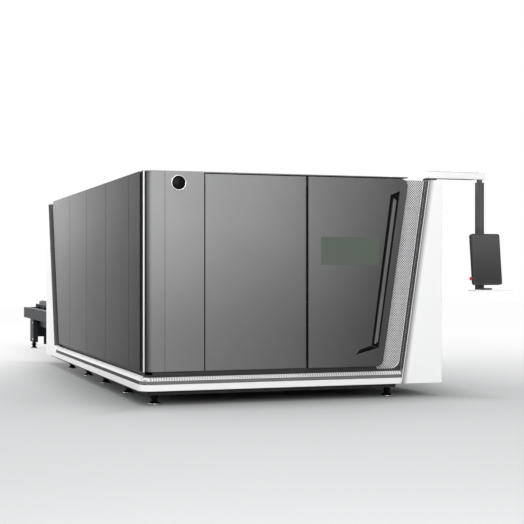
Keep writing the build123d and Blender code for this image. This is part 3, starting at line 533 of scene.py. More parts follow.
@dataclass(frozen=True)
class LeaningPaint(Paint):
    """White paint with a painted shade that makes it greyer along the rolled edge of the leaning front
    pillar.

    The edge runs through edge_x at the height edge_z, and leans by lean metres to the metre.
    """

    edge_x: float = 0.9705
    edge_z: float = 1.430
    lean: float = 0.150
    grey_until: float = 0.012
    white_from: float = 0.080
    edge_shade_level: float = 0.22

    def base(self, shader: ShaderTree) -> Any:
        """Mixes the edge's painted shade and the paint by the distance from the line x = edge_x + lean (z -
        edge_z).

        Args:
            shader: the material's tree.

        Returns:
            The colour's socket.
        """
        east, _, up = shader.split(shader.place())
        climb = shader.math("SUBTRACT", up, self.edge_z)
        line = shader.math("ADD", shader.math("MULTIPLY", climb, self.lean), self.edge_x)
        away = shader.math("SUBTRACT", east, line)
        share = shader.remap(away, self.grey_until, self.white_from, 0.0, 1.0)
        # Painted shade: grey at the rolled edge, full paint colour past white_from.
        return shader.mix(share, grey(self.edge_shade_level), opaque(self.colour))


@dataclass(frozen=True)
class Metal:
    """Bare or plated steel: a drawn grain, slow staining and light scuffs."""

    name: str
    colour: Colour
    roughness: float = 0.3
    stretch: Point = (1.0, 1.0, 30.0)
    scale: float = 60.0
    depth: float = 0.00006
    scuffs: float = 0.15
    stain: Colour = (0.30, 0.27, 0.24)
    stained: float = 0.25

    def make(self, effects: Effects) -> bpy.types.Material:
        """Builds the material.

        Args:
            effects: the shared groups.

        Returns:
            The material.
        """
        material, shader, made = new_material(self.name)
        mapping = shader.add("ShaderNodeMapping")
        shader.join(shader.place(), mapping.inputs["Vector"])
        mapping.inputs["Scale"].default_value = self.stretch
        drawn = shader.noise(mapping.outputs["Vector"], self.scale, 4.0, 0.6)
        cloud = shader.noise(shader.place(), 7.0, 5.0, 0.6)
        mask = effects.use(shader, effects.scuffs, Scale=40.0, Amount=self.scuffs)["Mask"]
        stained = shader.remap(cloud, 0.5, 0.8, 0.0, self.stained)
        colour = shader.mix(stained, opaque(self.colour), opaque(self.stain))
        colour = shader.mix(shader.math("MULTIPLY", drawn, 0.25), colour, grey(0.35))
        rough = shader.math("ADD", shader.math("MULTIPLY", drawn, 0.18), self.roughness - 0.09)
        rough = shader.math("ADD", rough, shader.math("MULTIPLY", stained, 0.3))
        rough = shader.math("SUBTRACT", rough, shader.math("MULTIPLY", mask, 0.1), clamp=True)
        shader.join(colour, made["Base Color"])
        shader.join(rough, made["Roughness"])
        made["Metallic"].default_value = 1.0
        shader.join(shader.bump(drawn, self.depth), made["Normal"])
        return material


@dataclass(frozen=True)
class Perforated:
    """Coated sheet with a diagonal grid of punched holes, painted dark inside for the shade behind them.

    With a shade_below_height, painted shade makes it dark under that height and over the height
    shade_above_height. With shaded_sides, painted shade makes it nearly black where it faces sideways.
    """

    name: str
    colour: Colour
    inside: Colour = (0.05, 0.05, 0.055)
    pitch: float = 0.026
    hole: float = 0.33
    roughness: float = 0.45
    shade_below_height: float = 0.0
    shade_above_height: float = 0.0
    shaded_sides: bool = False

    def make(self, effects: Effects) -> bpy.types.Material:
        """Builds the material.

        Args:
            effects: the shared groups.

        Returns:
            The material.
        """
        material, shader, made = new_material(self.name)
        holes = effects.use(shader, effects.holes, Pitch=self.pitch, Hole=self.hole)
        grain = effects.use(shader, effects.grain, Scale=420.0)
        dust = effects.use(shader, effects.dust, Reach=0.5, Amount=0.2)["Mask"]
        sheet = shader.mix(dust, opaque(self.colour), grey(0.42))
        # Painted shade: the holes take the dark inside colour of the space behind the sheet.
        colour = shader.mix(holes["Mask"], sheet, opaque(self.inside))
        if self.shade_below_height:
            # Painted shade: the strip under shade_below_height and the recess over shade_above_height are
            # painted dark.
            dark = shader.outside(self.shade_below_height, self.shade_above_height, 0.80, 0.96)
            colour = shader.mix(dark, colour, grey(0.02))
        if self.shaded_sides:
            # Painted shade: faces turned sideways are painted nearly black.
            turned = shader.remap(shader.math("ABSOLUTE", shader.facing()[0]), 0.5, 0.8, 0.0, 0.88)
            colour = shader.mix(turned, colour, grey(0.02))
        shader.join(colour, made["Base Color"])
        rough = shader.math("ADD", shader.math("MULTIPLY", holes["Mask"], 0.4), self.roughness)
        cloud = shader.math("MULTIPLY", grain["Cloud"], 0.1)
        shader.join(shader.math("ADD", rough, cloud, clamp=True), made["Roughness"])
        made["Specular IOR Level"].default_value = 0.3
        shader.join(shader.bump(holes["Height"], 0.003), made["Normal"])
        return material


@dataclass(frozen=True)
class Pane:
    """Tinted plastic or glass: a clear coat over a slightly cloudy body.

    With a top colour, the body changes to it from the height reflection_low_z up to reflection_top_z, as a
    painted reflection that is lighter towards the top.
    """

    name: str
    colour: Colour
    roughness: float = 0.12
    coat: float = 0.6
    ior: float = 1.45
    smear: float = 0.06
    top: Optional[Colour] = None
    reflection_low_z: float = 0.0
    reflection_top_z: float = 1.0

    def make(self, effects: Effects) -> bpy.types.Material:
        """Builds the material.

        Args:
            effects: the shared groups.

        Returns:
            The material.
        """
        material, shader, made = new_material(self.name)
        grain = effects.use(shader, effects.grain, Scale=260.0)
        body = opaque(self.colour)
        if self.top is not None:
            # Painted reflection: the pane is lighter towards the top.
            height = shader.split(shader.place())[2]
            body = shader.mix(shader.remap(height, self.reflection_low_z, self.reflection_top_z, 0.0, 1.0), body, opaque(self.top))
        smear = shader.math("MULTIPLY", grain["Cloud"], self.smear)
        shader.join(shader.mix(smear, body, grey(0.35)), made["Base Color"])
        rough = shader.math("ADD", shader.math("MULTIPLY", grain["Cloud"], 0.08), self.roughness - 0.03)
        shader.join(shader.math("MAXIMUM", rough, 0.02), made["Roughness"])
        made["Coat Weight"].default_value = self.coat
        made["IOR"].default_value = self.ior
        made["Coat Roughness"].default_value = 0.05
        return material


@dataclass(frozen=True)
class Rubber:
    """Matt black rubber or moulded plastic with a fine grain and pale dust."""

    name: str
    colour: Colour
    roughness: float = 0.7
    grain: float = 900.0
    depth: float = 0.0002
    dust: float = 0.2

    def make(self, effects: Effects) -> bpy.types.Material:
        """Builds the material.

        Args:
            effects: the shared groups.

        Returns:
            The material.
        """
        material, shader, made = new_material(self.name)
        grain = effects.use(shader, effects.grain, Scale=self.grain)
        dust = effects.use(shader, effects.dust, Reach=0.4, Amount=self.dust)["Mask"]
        shade = shader.mix(shader.math("MULTIPLY", grain["Cloud"], 0.3), opaque(self.colour), grey(0.12))
        shader.join(shader.mix(dust, shade, grey(0.3)), made["Base Color"])
        rough = shader.math("ADD", shader.math("MULTIPLY", grain["Cloud"], 0.15), self.roughness - 0.07)
        shader.join(rough, made["Roughness"])
        made["Specular IOR Level"].default_value = 0.3
        shader.join(shader.bump(grain["Height"], self.depth), made["Normal"])
        return material


@dataclass(frozen=True)
class Lamp:
    """Pale diffuser over a strip lamp in a black housing, which starts at the place dark_from along Y."""

    name: str
    colour: Colour
    glow: float
    dark_from: float

    def make(self, effects: Effects) -> bpy.types.Material:
        """Builds the material.

        Args:
            effects: the shared groups.

        Returns:
            The material.
        """
        material, shader, made = new_material(self.name)
        grain = effects.use(shader, effects.grain, Scale=300.0)
        _, north, up = shader.split(shader.place())
        ends = shader.remap(up, 0.4, 1.6, 0.75, 1.0)
        body = shader.mix(ends, grey(0.25), opaque(self.colour))
        housing = shader.remap(north, self.dark_from, self.dark_from + STEP_BLUR, 0.0, 1.0)
        body = shader.mix(housing, body, grey(0.004))
        shader.join(body, made["Base Color"])
        shader.join(body, made["Emission Color"])
        made["Emission Strength"].default_value = self.glow
        made["IOR"].default_value = 1.1
        shader.join(shader.math("ADD", shader.math("MULTIPLY", grain["Cloud"], 0.2), 0.3), made["Roughness"])
        return material


class Finishes:
    """Every finish of the machine, built once and found by name."""

    recipes = (
        # Cabin paints with painted light and shade: their tone runs along the cabin and with height.
        GradedPaint("panel_paint", (1.0, 1.0, 1.0), roughness=0.38, specular=0.45, dust=0.05, cloud=0.04,
                    ior=1.13),
        GradedPaint("corner_paint", (1.0, 1.0, 1.0), roughness=0.38, specular=0.45, dust=0.05, cloud=0.04,
                    ior=1.15, side_light_levels=((-5.1, 0.13), (-5.0, 0.13), (0.6, 0.13))),
        Paint("sill_paint", (0.90, 0.90, 0.90), roughness=0.4, dust=0.04, cloud=0.015, shade_below_height=0.236,
              shade_above_height=0.279, ior=1.25),
        LeaningPaint("pillar_paint", (0.97, 0.97, 0.97), roughness=0.36, dust=0.0, cloud=0.008, reach=0.4),
        Paint("post_paint", (0.085, 0.085, 0.088), roughness=0.42, dust=0.05),
        Paint("handle_paint", (0.13, 0.13, 0.132), roughness=0.34, dust=0.04, scuffs=0.08),
        Paint("white_paint", (0.95, 0.95, 0.95), roughness=0.36, dust=0.06, cloud=0.012, reach=0.4),
        Paint("frame_paint", (0.014, 0.014, 0.016), roughness=0.6, dust=0.05, scuffs=0.10, ior=1.25),
        Paint("machine_paint", (0.30, 0.32, 0.34), roughness=0.48, dust=0.18, scuffs=0.10),
        Paint("table_paint", (0.014, 0.018, 0.021), roughness=0.46, dust=0.05, scuffs=0.10, ior=1.18),
        Metal("ground_steel", (0.56, 0.56, 0.58), roughness=0.32),
        Metal("cut_slats", (0.30, 0.29, 0.29), roughness=0.5, stained=0.6, stain=(0.16, 0.11, 0.07),
              scuffs=0.3),
        Metal("plated_steel", (0.78, 0.78, 0.80), roughness=0.16, stained=0.06, stretch=(1.0, 1.0, 4.0)),
        Metal("brass", (0.72, 0.50, 0.22), roughness=0.28, stained=0.15),
        # band_mesh and sill_mesh are the mesh sheet in light; shaded_band_mesh and shaded_vent_mesh are
        # painted-shade copies of the same sheet for its faces in shade.
        Perforated("band_mesh", (0.84, 0.84, 0.85), inside=(0.10, 0.10, 0.105), hole=0.36, shaded_sides=True),
        Perforated("shaded_band_mesh", (0.11, 0.11, 0.113), inside=(0.008, 0.008, 0.008), hole=0.34),
        Perforated("sill_mesh", (0.92, 0.92, 0.93), inside=(0.12, 0.12, 0.125), hole=0.27, shade_below_height=0.236,
                   shade_above_height=0.269),
        Perforated("shaded_vent_mesh", (0.06, 0.06, 0.062), inside=(0.006, 0.006, 0.006), hole=0.34),
        Pane("laser_window", (0.068, 0.090, 0.068), roughness=0.30, coat=0.1),
        # The screen's glass carries a painted reflection, lighter towards the top.
        Pane("screen_glass", (0.006, 0.006, 0.0065), roughness=0.36, coat=0.05, top=(0.052, 0.052, 0.054),
             reflection_low_z=1.2, reflection_top_z=1.7),
        Pane("gloss_black", (0.003, 0.003, 0.0033), roughness=0.16, coat=0.0, ior=1.14, smear=0.005),
        Pane("red_moulding", (0.62, 0.02, 0.02), roughness=0.25, coat=0.4),
        Pane("yellow_moulding", (0.75, 0.50, 0.03), roughness=0.35, coat=0.2),
        Rubber("black_rubber", (0.012, 0.012, 0.013)),
        Rubber("dark_moulding", (0.03, 0.03, 0.033), roughness=0.5, dust=0.08),
        Lamp("strip_diffuser", (0.80, 0.81, 0.82), 0.25, dark_from=-5.0805),
    )

    def __init__(self) -> None:
        """Builds the shared groups and every finish."""
        effects = Effects()
        self.by_name = {recipe.name: recipe.make(effects) for recipe in self.recipes}

    def dress(self, nodes: dict[str, bpy.types.Object], choice: dict[str, str]) -> None:
        """Puts finishes on carried-over nodes.

        Args:
            nodes: the frame's nodes by name.
            choice: the finish of each node, by name.
        """
        for node, finish in choice.items():
            for slot in nodes[node].material_slots:
                slot.material = self.by_name[finish]


@dataclass(frozen=True)
class Plate:
    """Sizes of a flat plate with rounded corners and edges.

    It has two sizes across its axis, a corner radius, a start and an end along the axis, an edge
    radius, the place that it stands at, and the points in each quarter turn of its corners.
    """

    size: tuple[float, float]
    corner: float
    low: float
    high: float
    edge: float
    centre: Point = (0.0, 0.0, 0.0)
    axis: Axis = Axis.Z
    steps: int = 5


class Surface:
    """A mesh in the making: points and faces as whole arrays."""

    def __init__(self, points: np.ndarray, faces: list[tuple[int, ...]]) -> None:
        """Keeps the arrays.

        Args:
            points: one row of three numbers for each point.
            faces: indices of each face's points.
        """
        self.points = points
        self.faces = faces

    @classmethod
    def grid(cls, points: np.ndarray, round_trip: bool = False, capped: bool = False) -> "Surface":
        """Joins a grid of points with four-sided faces.

        Args:
            points: an array of rows by columns by 3.
            round_trip: closes each row on itself.
            capped: closes the first and the last row with one face each.

        Returns:
            The surface.
        """
        rows, columns = points.shape[:2]
        index = np.arange(rows * columns).reshape(rows, columns)
        if round_trip:
            index = np.concatenate([index, index[:, :1]], axis=1)
        corners = [index[:-1, :-1], index[:-1, 1:], index[1:, 1:], index[1:, :-1]]
        faces = [tuple(row) for row in np.stack(corners, axis=-1).reshape(-1, 4).tolist()]
        if capped:
            faces += [tuple(range(columns))[::-1], tuple(range((rows - 1) * columns, rows * columns))]
        return cls(points.reshape(-1, 3), faces)

    @classmethod
    def lathe(cls, profile: Outline, centre: Point, axis: Axis = Axis.Z, sides: int = 48,
              ring: bool = False) -> "Surface":
        """Turns a profile about an axis: point = centre + radius (cos a, sin a) across and height along.

        Args:
            profile: pairs of radius and height along the axis.
            centre: the place of height 0 on the axis.
            axis: the direction of the axis.
            sides: steps round the axis.
            ring: joins the profile's end to its start, which leaves the middle open.

        Returns:
            The turned surface.
        """
        outline = np.array([*profile, profile[0]] if ring else profile)
        angle = np.linspace(0, 2 * math.pi, sides, endpoint=False)
        across, over, along = axis.value
        points = np.zeros((len(outline), sides, 3))
        points[..., across] = outline[:, :1] * np.cos(angle)
        points[..., over] = outline[:, :1] * np.sin(angle)
        points[..., along] = outline[:, 1:]
        return cls.grid(points + np.array(centre), round_trip=True, capped=not ring)

    @classmethod
    def slab(cls, plate: Plate) -> "Surface":
        """A plate: a rounded rectangle carried along a quarter-round profile.

        Each ring is the rectangle drawn in by edge (1 - cos t) at height edge (1 - sin t) from the face.

        Args:
            plate: the plate's sizes.

        Returns:
            The plate.
        """
        turn = np.linspace(0, math.pi / 2, plate.steps)
        angle = np.concatenate([turn + quarter * math.pi / 2 for quarter in range(4)])
        signs = np.repeat(np.array([(1, 1), (-1, 1), (-1, -1), (1, -1)]), plate.steps, axis=0)
        bend = np.linspace(0, math.pi / 2, 4)
        rise, draw = plate.edge * (1 - np.sin(bend)), plate.edge * (1 - np.cos(bend))
        inset = np.concatenate([rise, draw])
        level = np.concatenate([plate.low + draw, plate.high - rise])
        radius = np.maximum(plate.corner - inset, 1e-5)[:, None]
        half = np.array(plate.size) / 2
        across, over, along = plate.axis.value
        points = np.zeros((len(level), len(angle), 3))
        points[..., across] = signs[:, 0] * (half[0] - plate.corner) + radius * np.cos(angle)
        points[..., over] = signs[:, 1] * (half[1] - plate.corner) + radius * np.sin(angle)
        points[..., along] = level[:, None]
        return cls.grid(points + np.array(plate.centre), round_trip=True, capped=True)

    @classmethod
    def prism(cls, outline: Outline, low: float, high: float, axis: Axis) -> "Surface":
        """A flat shape carried straight along an axis.

        Args:
            outline: points across the axis, in its two directions.
            low: where it starts along the axis.
            high: where it ends along the axis.
            axis: the direction that it is carried along.

        Returns:
            The closed shape.
        """
        flat = np.array(outline)
        across, over, along = axis.value
        points = np.zeros((2, len(flat), 3))
        points[..., across], points[..., over] = flat[:, 0], flat[:, 1]
        points[..., along] = np.array((low, high))[:, None]
        return cls.grid(points, round_trip=True, capped=True)

    @classmethod
    def tube(cls, path: np.ndarray, radius: float, sides: int = 12, closed: bool = False) -> "Surface":
        """A round bar carried along a path.

        Each ring is point + radius (cos a n + sin a b), where n and b stand across the path.

        Args:
            path: points of the path, one row each.
            radius: radius of the bar.
            sides: steps round the bar.
            closed: joins the end to the start.

        Returns:
            The bar.
        """
        ahead = np.roll(path, -1, axis=0) - np.roll(path, 1, axis=0) if closed else np.gradient(path, axis=0)
        ahead /= np.linalg.norm(ahead, axis=1)[:, None]
        spread = np.ptp(path, axis=0)
        steady = np.eye(3)[int(np.argmin(spread))]
        first = np.cross(ahead, steady)
        first /= np.linalg.norm(first, axis=1)[:, None]
        second = np.cross(ahead, first)
        angle = np.linspace(0, 2 * math.pi, sides, endpoint=False)[None, :, None]
        rings = path[:, None] + radius * (np.cos(angle) * first[:, None] + np.sin(angle) * second[:, None])
        if closed:
            rings = np.concatenate([rings, rings[:1]])
        return cls.grid(rings, round_trip=True, capped=not closed)

    def repeat(self, places: Sequence[Point]) -> "Surface":
        """Copies the surface: each copy's points are the points plus its place.

        Args:
            places: where the copies go.

        Returns:
            All the copies as one surface.
        """
        shifts = np.array(places)
        points = (self.points[None] + shifts[:, None]).reshape(-1, 3)
        count = len(self.points)
        faces = [tuple(i + count * turn for i in face) for turn in range(len(shifts)) for face in self.faces]
        return Surface(points, faces)

    @classmethod
    def gather(cls, parts: Sequence["Surface"]) -> "Surface":
        """Puts several surfaces in one.

        Args:
            parts: the surfaces.

        Returns:
            All of them as one surface.
        """
        whole = parts[0]
        for part in parts[1:]:
            whole = whole + part
        return whole

    def __add__(self, other: "Surface") -> "Surface":
        """Puts two surfaces in one.

        Args:
            other: the surface that is added to this one.

        Returns:
            Both as one surface.
        """
        count = len(self.points)
        faces = self.faces + [tuple(i + count for i in face) for face in other.faces]
        return Surface(np.concatenate([self.points, other.points]), faces)

    def make(self, name: str, material: bpy.types.Material, smooth: float = 40.0) -> bpy.types.Object:
        """Turns the arrays into an object with its faces outwards.

        Args:
            name: the object's name.
            material: its finish.
            smooth: edges under this angle, in degrees, are shaded smooth.

        Returns:
            The object, at the origin.
        """
        mesh = bpy.data.meshes.new(name)
        mesh.from_pydata(self.points.tolist(), [], self.faces)
        work = bmesh.new()
        work.from_mesh(mesh)
        bmesh.ops.remove_doubles(work, verts=work.verts, dist=1e-6)
        bmesh.ops.recalc_face_normals(work, faces=work.faces)
        work.to_mesh(mesh)
        work.free()
        mesh.shade_smooth()
        mesh.set_sharp_from_angle(angle=math.radians(smooth))
        mesh.materials.append(material)
        made = bpy.data.objects.new(name, mesh)
        bpy.context.scene.collection.objects.link(made)
        return made


@dataclass
class Studio:
    """Camera, floor, backdrop and lamps round the machine.

    The camera's turn is in degrees, and its rise is a share of the picture. The footprint is the part of the
    machine round which a shadow is painted on the floor, by its middle and its half sizes. A lamp is its
    name, its place, the point that it faces, its two sides and its power in watts.
    """

    camera_place: Point = (-4.6625, -16.60, 1.30)
    turn: float = 18.8
    lens: float = 82.9
    rise: float = 0.020
    floor_size: float = 60.0
    footprint_middle: tuple[float, float] = (-0.385, -2.15)
    footprint_half: tuple[float, float] = (1.585, 2.95)
    lamps: Sequence[tuple[str, Point, Point, tuple[float, float], float]] = (
        ("top_lamp", (0.0, -1.0, 8.5), (0.0, -0.5, 0.0), (10.0, 14.0), 800.0),
        ("front_lamp", (-3.0, -15.0, 4.5), (0.0, -4.0, 1.2), (9.0, 5.0), 660.0),
        ("left_lamp", (-12.0, 1.0, 4.0), (-1.5, 0.0, 1.2), (9.0, 5.0), 400.0),
        ("right_lamp", (12.0, 0.0, 4.5), (1.5, 0.0, 1.2), (9.0, 5.0), 270.0),
        ("rear_lamp", (0.0, 15.0, 4.5), (0.0, 4.0, 1.2), (9.0, 5.0), 270.0),
    )

    def place_camera(self) -> None:
        """Stands the camera where the photograph was taken, level, turned towards the far right."""
        data = bpy.data.cameras.new("camera")
        data.lens, data.sensor_width, data.shift_y = self.lens, 36.0, self.rise
        data.clip_end = 200.0
        camera = bpy.data.objects.new("camera", data)
        camera.location = self.camera_place
        camera.rotation_euler = (math.pi / 2, 0.0, -math.radians(self.turn))
        bpy.context.scene.collection.objects.link(camera)
        bpy.context.scene.camera = camera

    def seen(self, shader: ShaderTree) -> Socket:
        """Gives 1 for rays from the camera, mirrors and glass, and 0 for lighting rays.

        Args:
            shader: the tree that asks.

        Returns:
            The share's socket.
        """
        path = shader.add("ShaderNodeLightPath").outputs
        mirrored = shader.math("MAXIMUM", path["Is Glossy Ray"], path["Is Transmission Ray"])
        return shader.math("MAXIMUM", path["Is Camera Ray"], mirrored)

    def build_world(self, strength: float = 0.36) -> None:
        """Makes a white world to look at, which lights the machine at a lower strength.

        Args:
            strength: the strength for lighting rays.
        """
        world = bpy.data.worlds.new("studio")
        world.use_nodes = True
        bpy.context.scene.world = world
        shader = ShaderTree(world.node_tree)
        background = next(node for node in world.node_tree.nodes if node.type == "BACKGROUND")
        background.inputs["Color"].default_value = grey(1.0)
        share = shader.remap(self.seen(shader), 0.0, 1.0, strength, 1.0)
        shader.join(share, background.inputs["Strength"])

    def painted_floor_shadow(self, shader: ShaderTree, east: Socket, north: Socket) -> Socket:
        """Gives the painted shadow on the floor round the machine.

        It falls from 30 cm inside the machine's outline to 80 cm outside it, measured as the larger
        of the two distances past the outline's middle lines.

        Args:
            shader: the floor's tree.
            east: the place along X.
            north: the place along Y.

        Returns:
            The share's socket.
        """
        gaps = []
        for place, middle, half in zip((east, north), self.footprint_middle, self.footprint_half):
            offset = shader.math("ABSOLUTE", shader.math("SUBTRACT", place, middle))
            gaps.append(shader.math("SUBTRACT", offset, half))
        return shader.remap(shader.math("MAXIMUM", *gaps), -0.3, 0.8, 0.55, 0.0)

    def build_floor(self) -> None:
        """Lays a flat floor, a two by two grid of points: pale grey round the front, white far off."""
        half = self.floor_size / 2
        axis = np.array([-half, half])
        points = np.stack(np.meshgrid(axis, axis, indexing="ij") + [np.full((2, 2), -0.001)], axis=-1)
        material, shader, made = new_material("floor")
        place = shader.place()
        cloud = shader.noise(place, 0.8, 3.0)
        east, north, _ = shader.split(place)
        away = shader.math("ADD", north, 8.0)
        squares = (shader.math("MULTIPLY", gap, gap) for gap in (east, away))
        distance = shader.math("SQRT", shader.math("ADD", *squares))
        far = shader.remap(distance, 4.0, 14.0, 0.0, 1.0)
        tone = shader.mix(far, (0.59, 0.60, 0.605, 1.0), grey(0.90))
        tone = shader.mix(shader.math("MULTIPLY", cloud, 0.04), tone, grey(0.5))
        # Painted shadow round and under the machine, for rays from the camera, mirrors and glass.
        shade = shader.math("MULTIPLY", self.seen(shader), self.painted_floor_shadow(shader, east, north))
        shader.join(shader.mix(shade, tone, grey(0.05)), made["Base Color"])
        made["Roughness"].default_value = 0.8
        made["Specular IOR Level"].default_value = 0.1
        white = shader.add("ShaderNodeEmission")
        share = shader.math("MULTIPLY", self.seen(shader), shader.remap(distance, 5.0, 17.0, 0.0, 0.97))
        blend = shader.add("ShaderNodeMixShader")
        output = next(node for node in material.node_tree.nodes if node.type == "OUTPUT_MATERIAL")
        shader.join(share, blend.inputs[0])
        shader.join(made["Base Color"].node.outputs[0], blend.inputs[1])
        shader.join(white.outputs[0], blend.inputs[2])
        shader.join(blend.outputs[0], output.inputs["Surface"])
        floor = Surface.grid(points).make("floor", material)

    def build_lamp(self, name: str, place: Point, aim: Point, size: tuple[float, float],
                   power: float) -> None:
        """Hangs a soft rectangular lamp.

        Args:
            name: the lamp's name.
            place: where it hangs.
            aim: the point that it faces.
            size: its two sides.
            power: its power in watts.
        """
        data = bpy.data.lights.new(name, "AREA")
        data.shape, data.size, data.size_y, data.energy = "RECTANGLE", size[0], size[1], power
        lamp = bpy.data.objects.new(name, data)
        lamp.location = place
        gap = np.array(aim) - np.array(place)
        tip = math.acos(-gap[2] / np.linalg.norm(gap))
        lamp.rotation_euler = (tip, 0.0, math.atan2(gap[1], gap[0]) - math.pi / 2)
        lamp.visible_camera = False
        bpy.context.scene.collection.objects.link(lamp)

    def build(self) -> None:
        """Builds the whole studio."""
        bpy.context.scene.view_settings.view_transform = "Standard"
        self.place_camera()
        self.build_world()
        self.build_floor()
        for lamp in self.lamps:
            self.build_lamp(*lamp)


class Body(Enum):
    """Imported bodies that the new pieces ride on."""

    MACHINE = "machine"
    DOOR = "front_door"
    SHUTTER = "shutter"
    GANTRY = "gantry"
    HEAD = "head"
    STOP = "stop_button"
    ARM = "swivel_arm"
    CABINET_FRONT = "cabinet_front_door"
    CABINET_REAR = "cabinet_rear_door"


@dataclass
class Assembly:
    """Base of the sub-assemblies: makes pieces from surfaces and hands them to their body."""

    finishes: Finishes

    def add(self, name: str, surface: Surface, finish: str, body: Body, slot: str,
            replaces: Sequence[str] = (), smooth: float = 40.0) -> bpy.types.Object:
        """Makes one piece and fixes it to its body.

        Args:
            name: the piece's name.
            surface: its shape.
            finish: the name of its finish.
            body: the body that it rides on.
            slot: the record's material slot that it stands for; not used.
            replaces: nodes that it is shown for.
            smooth: edges under this angle, in degrees, are shaded smooth.

        Returns:
            The piece.
        """
        piece = surface.make(name, self.finishes.by_name[finish], smooth)
        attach(piece, body.value)
        if replaces:
            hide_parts(*replaces)
        log.info("piece %s: %d faces on %s", name, len(surface.faces), body.value)
        return piece


@dataclass
class FrontTrim(Assembly):
    """The badge's glass dome and rim, thin black sheets of painted shade in the handle's groove, and the
    handle's flange.

    Outlines on the door are pairs of Z and X.
    """

    badge: Point = (-1.6145, -5.1, 2.183)
    dome_radius: float = 0.067
    dome_base: float = 0.0075
    dome_depth: float = 0.008
    rim_radius: float = 0.076
    rim_bevel: tuple[float, float] = (0.002, 0.0025)
    rim_depth: float = 0.0115
    leaf_face: float = -5.132
    groove: Outline = ((2.104, 0.6565), (2.147, 0.7635), (0.519, 0.5185), (0.546, 0.4425))
    tail: Outline = ((0.451, 0.2600), (0.513, 0.5110), (0.541, 0.4430), (0.5035, 0.3170))
    flange: Outline = ((2.055, 0.7085), (2.055, 0.7295), (0.575, 0.5155), (0.575, 0.4955))
    groove_depth: float = 0.024
    tail_depth: float = 0.012

    def build(self) -> None:
        """Builds the badge, the linings and the flange."""
        self.build_badge()
        self.build_handle()

    def build_badge(self) -> None:
        """Builds the badge's dome and the bevelled ring round it.

        The dome is a shallow quarter ellipse turned about the Y axis: depth = base + dome depth times
        the root of 1 - (radius / dome radius) squared.
        """
        share = np.linspace(0.0, 1.0, 12)
        height = -self.dome_base - self.dome_depth * np.sqrt(1.0 - share ** 2)
        dome = [(float(r), float(h)) for r, h in zip(share * self.dome_radius, height)]
        dome += [(self.dome_radius, -0.001), (0.0, -0.001)]
        self.add("badge_dome", Surface.lathe(dome, self.badge, Axis.Y, 64), "gloss_black", Body.MACHINE,
                 "gloss_black", ("badge",), 60.0)
        inner, outer = self.dome_radius + 0.0005, self.rim_radius
        across, back = self.rim_bevel
        shoulder = back - self.rim_depth
        rim = [(inner, -0.0005), (inner, shoulder), (inner + across, -self.rim_depth),
               (outer - across, -self.rim_depth), (outer, shoulder), (outer, -0.0005)]
        self.add("badge_rim", Surface.lathe(rim, self.badge, Axis.Y, 64, ring=True), "plated_steel",
                 Body.MACHINE, "gloss_black", (), 60.0)

    def build_handle(self) -> None:
        """Builds thin black sheets of painted shade at the back of the handle's groove, and the handle's
        flange.
        """
        for name, outline, depth in (("groove_shade", self.groove, self.groove_depth),
                                     ("groove_tail_shade", self.tail, self.tail_depth)):
            back = self.leaf_face + depth
            # Painted shade: a thin black sheet just in front of the groove's back.
            shade_sheet = Surface.prism(outline, back - 0.0008, back - 0.0001, Axis.Y)
            self.add(name, shade_sheet, "gloss_black", Body.DOOR, "frame_dark")
        back = self.leaf_face + self.groove_depth - 0.0005
        flange = Surface.prism(self.flange, self.leaf_face + 0.011, back, Axis.Y)
        self.add("handle_flange", flange, "handle_paint", Body.DOOR, "frame_dark")


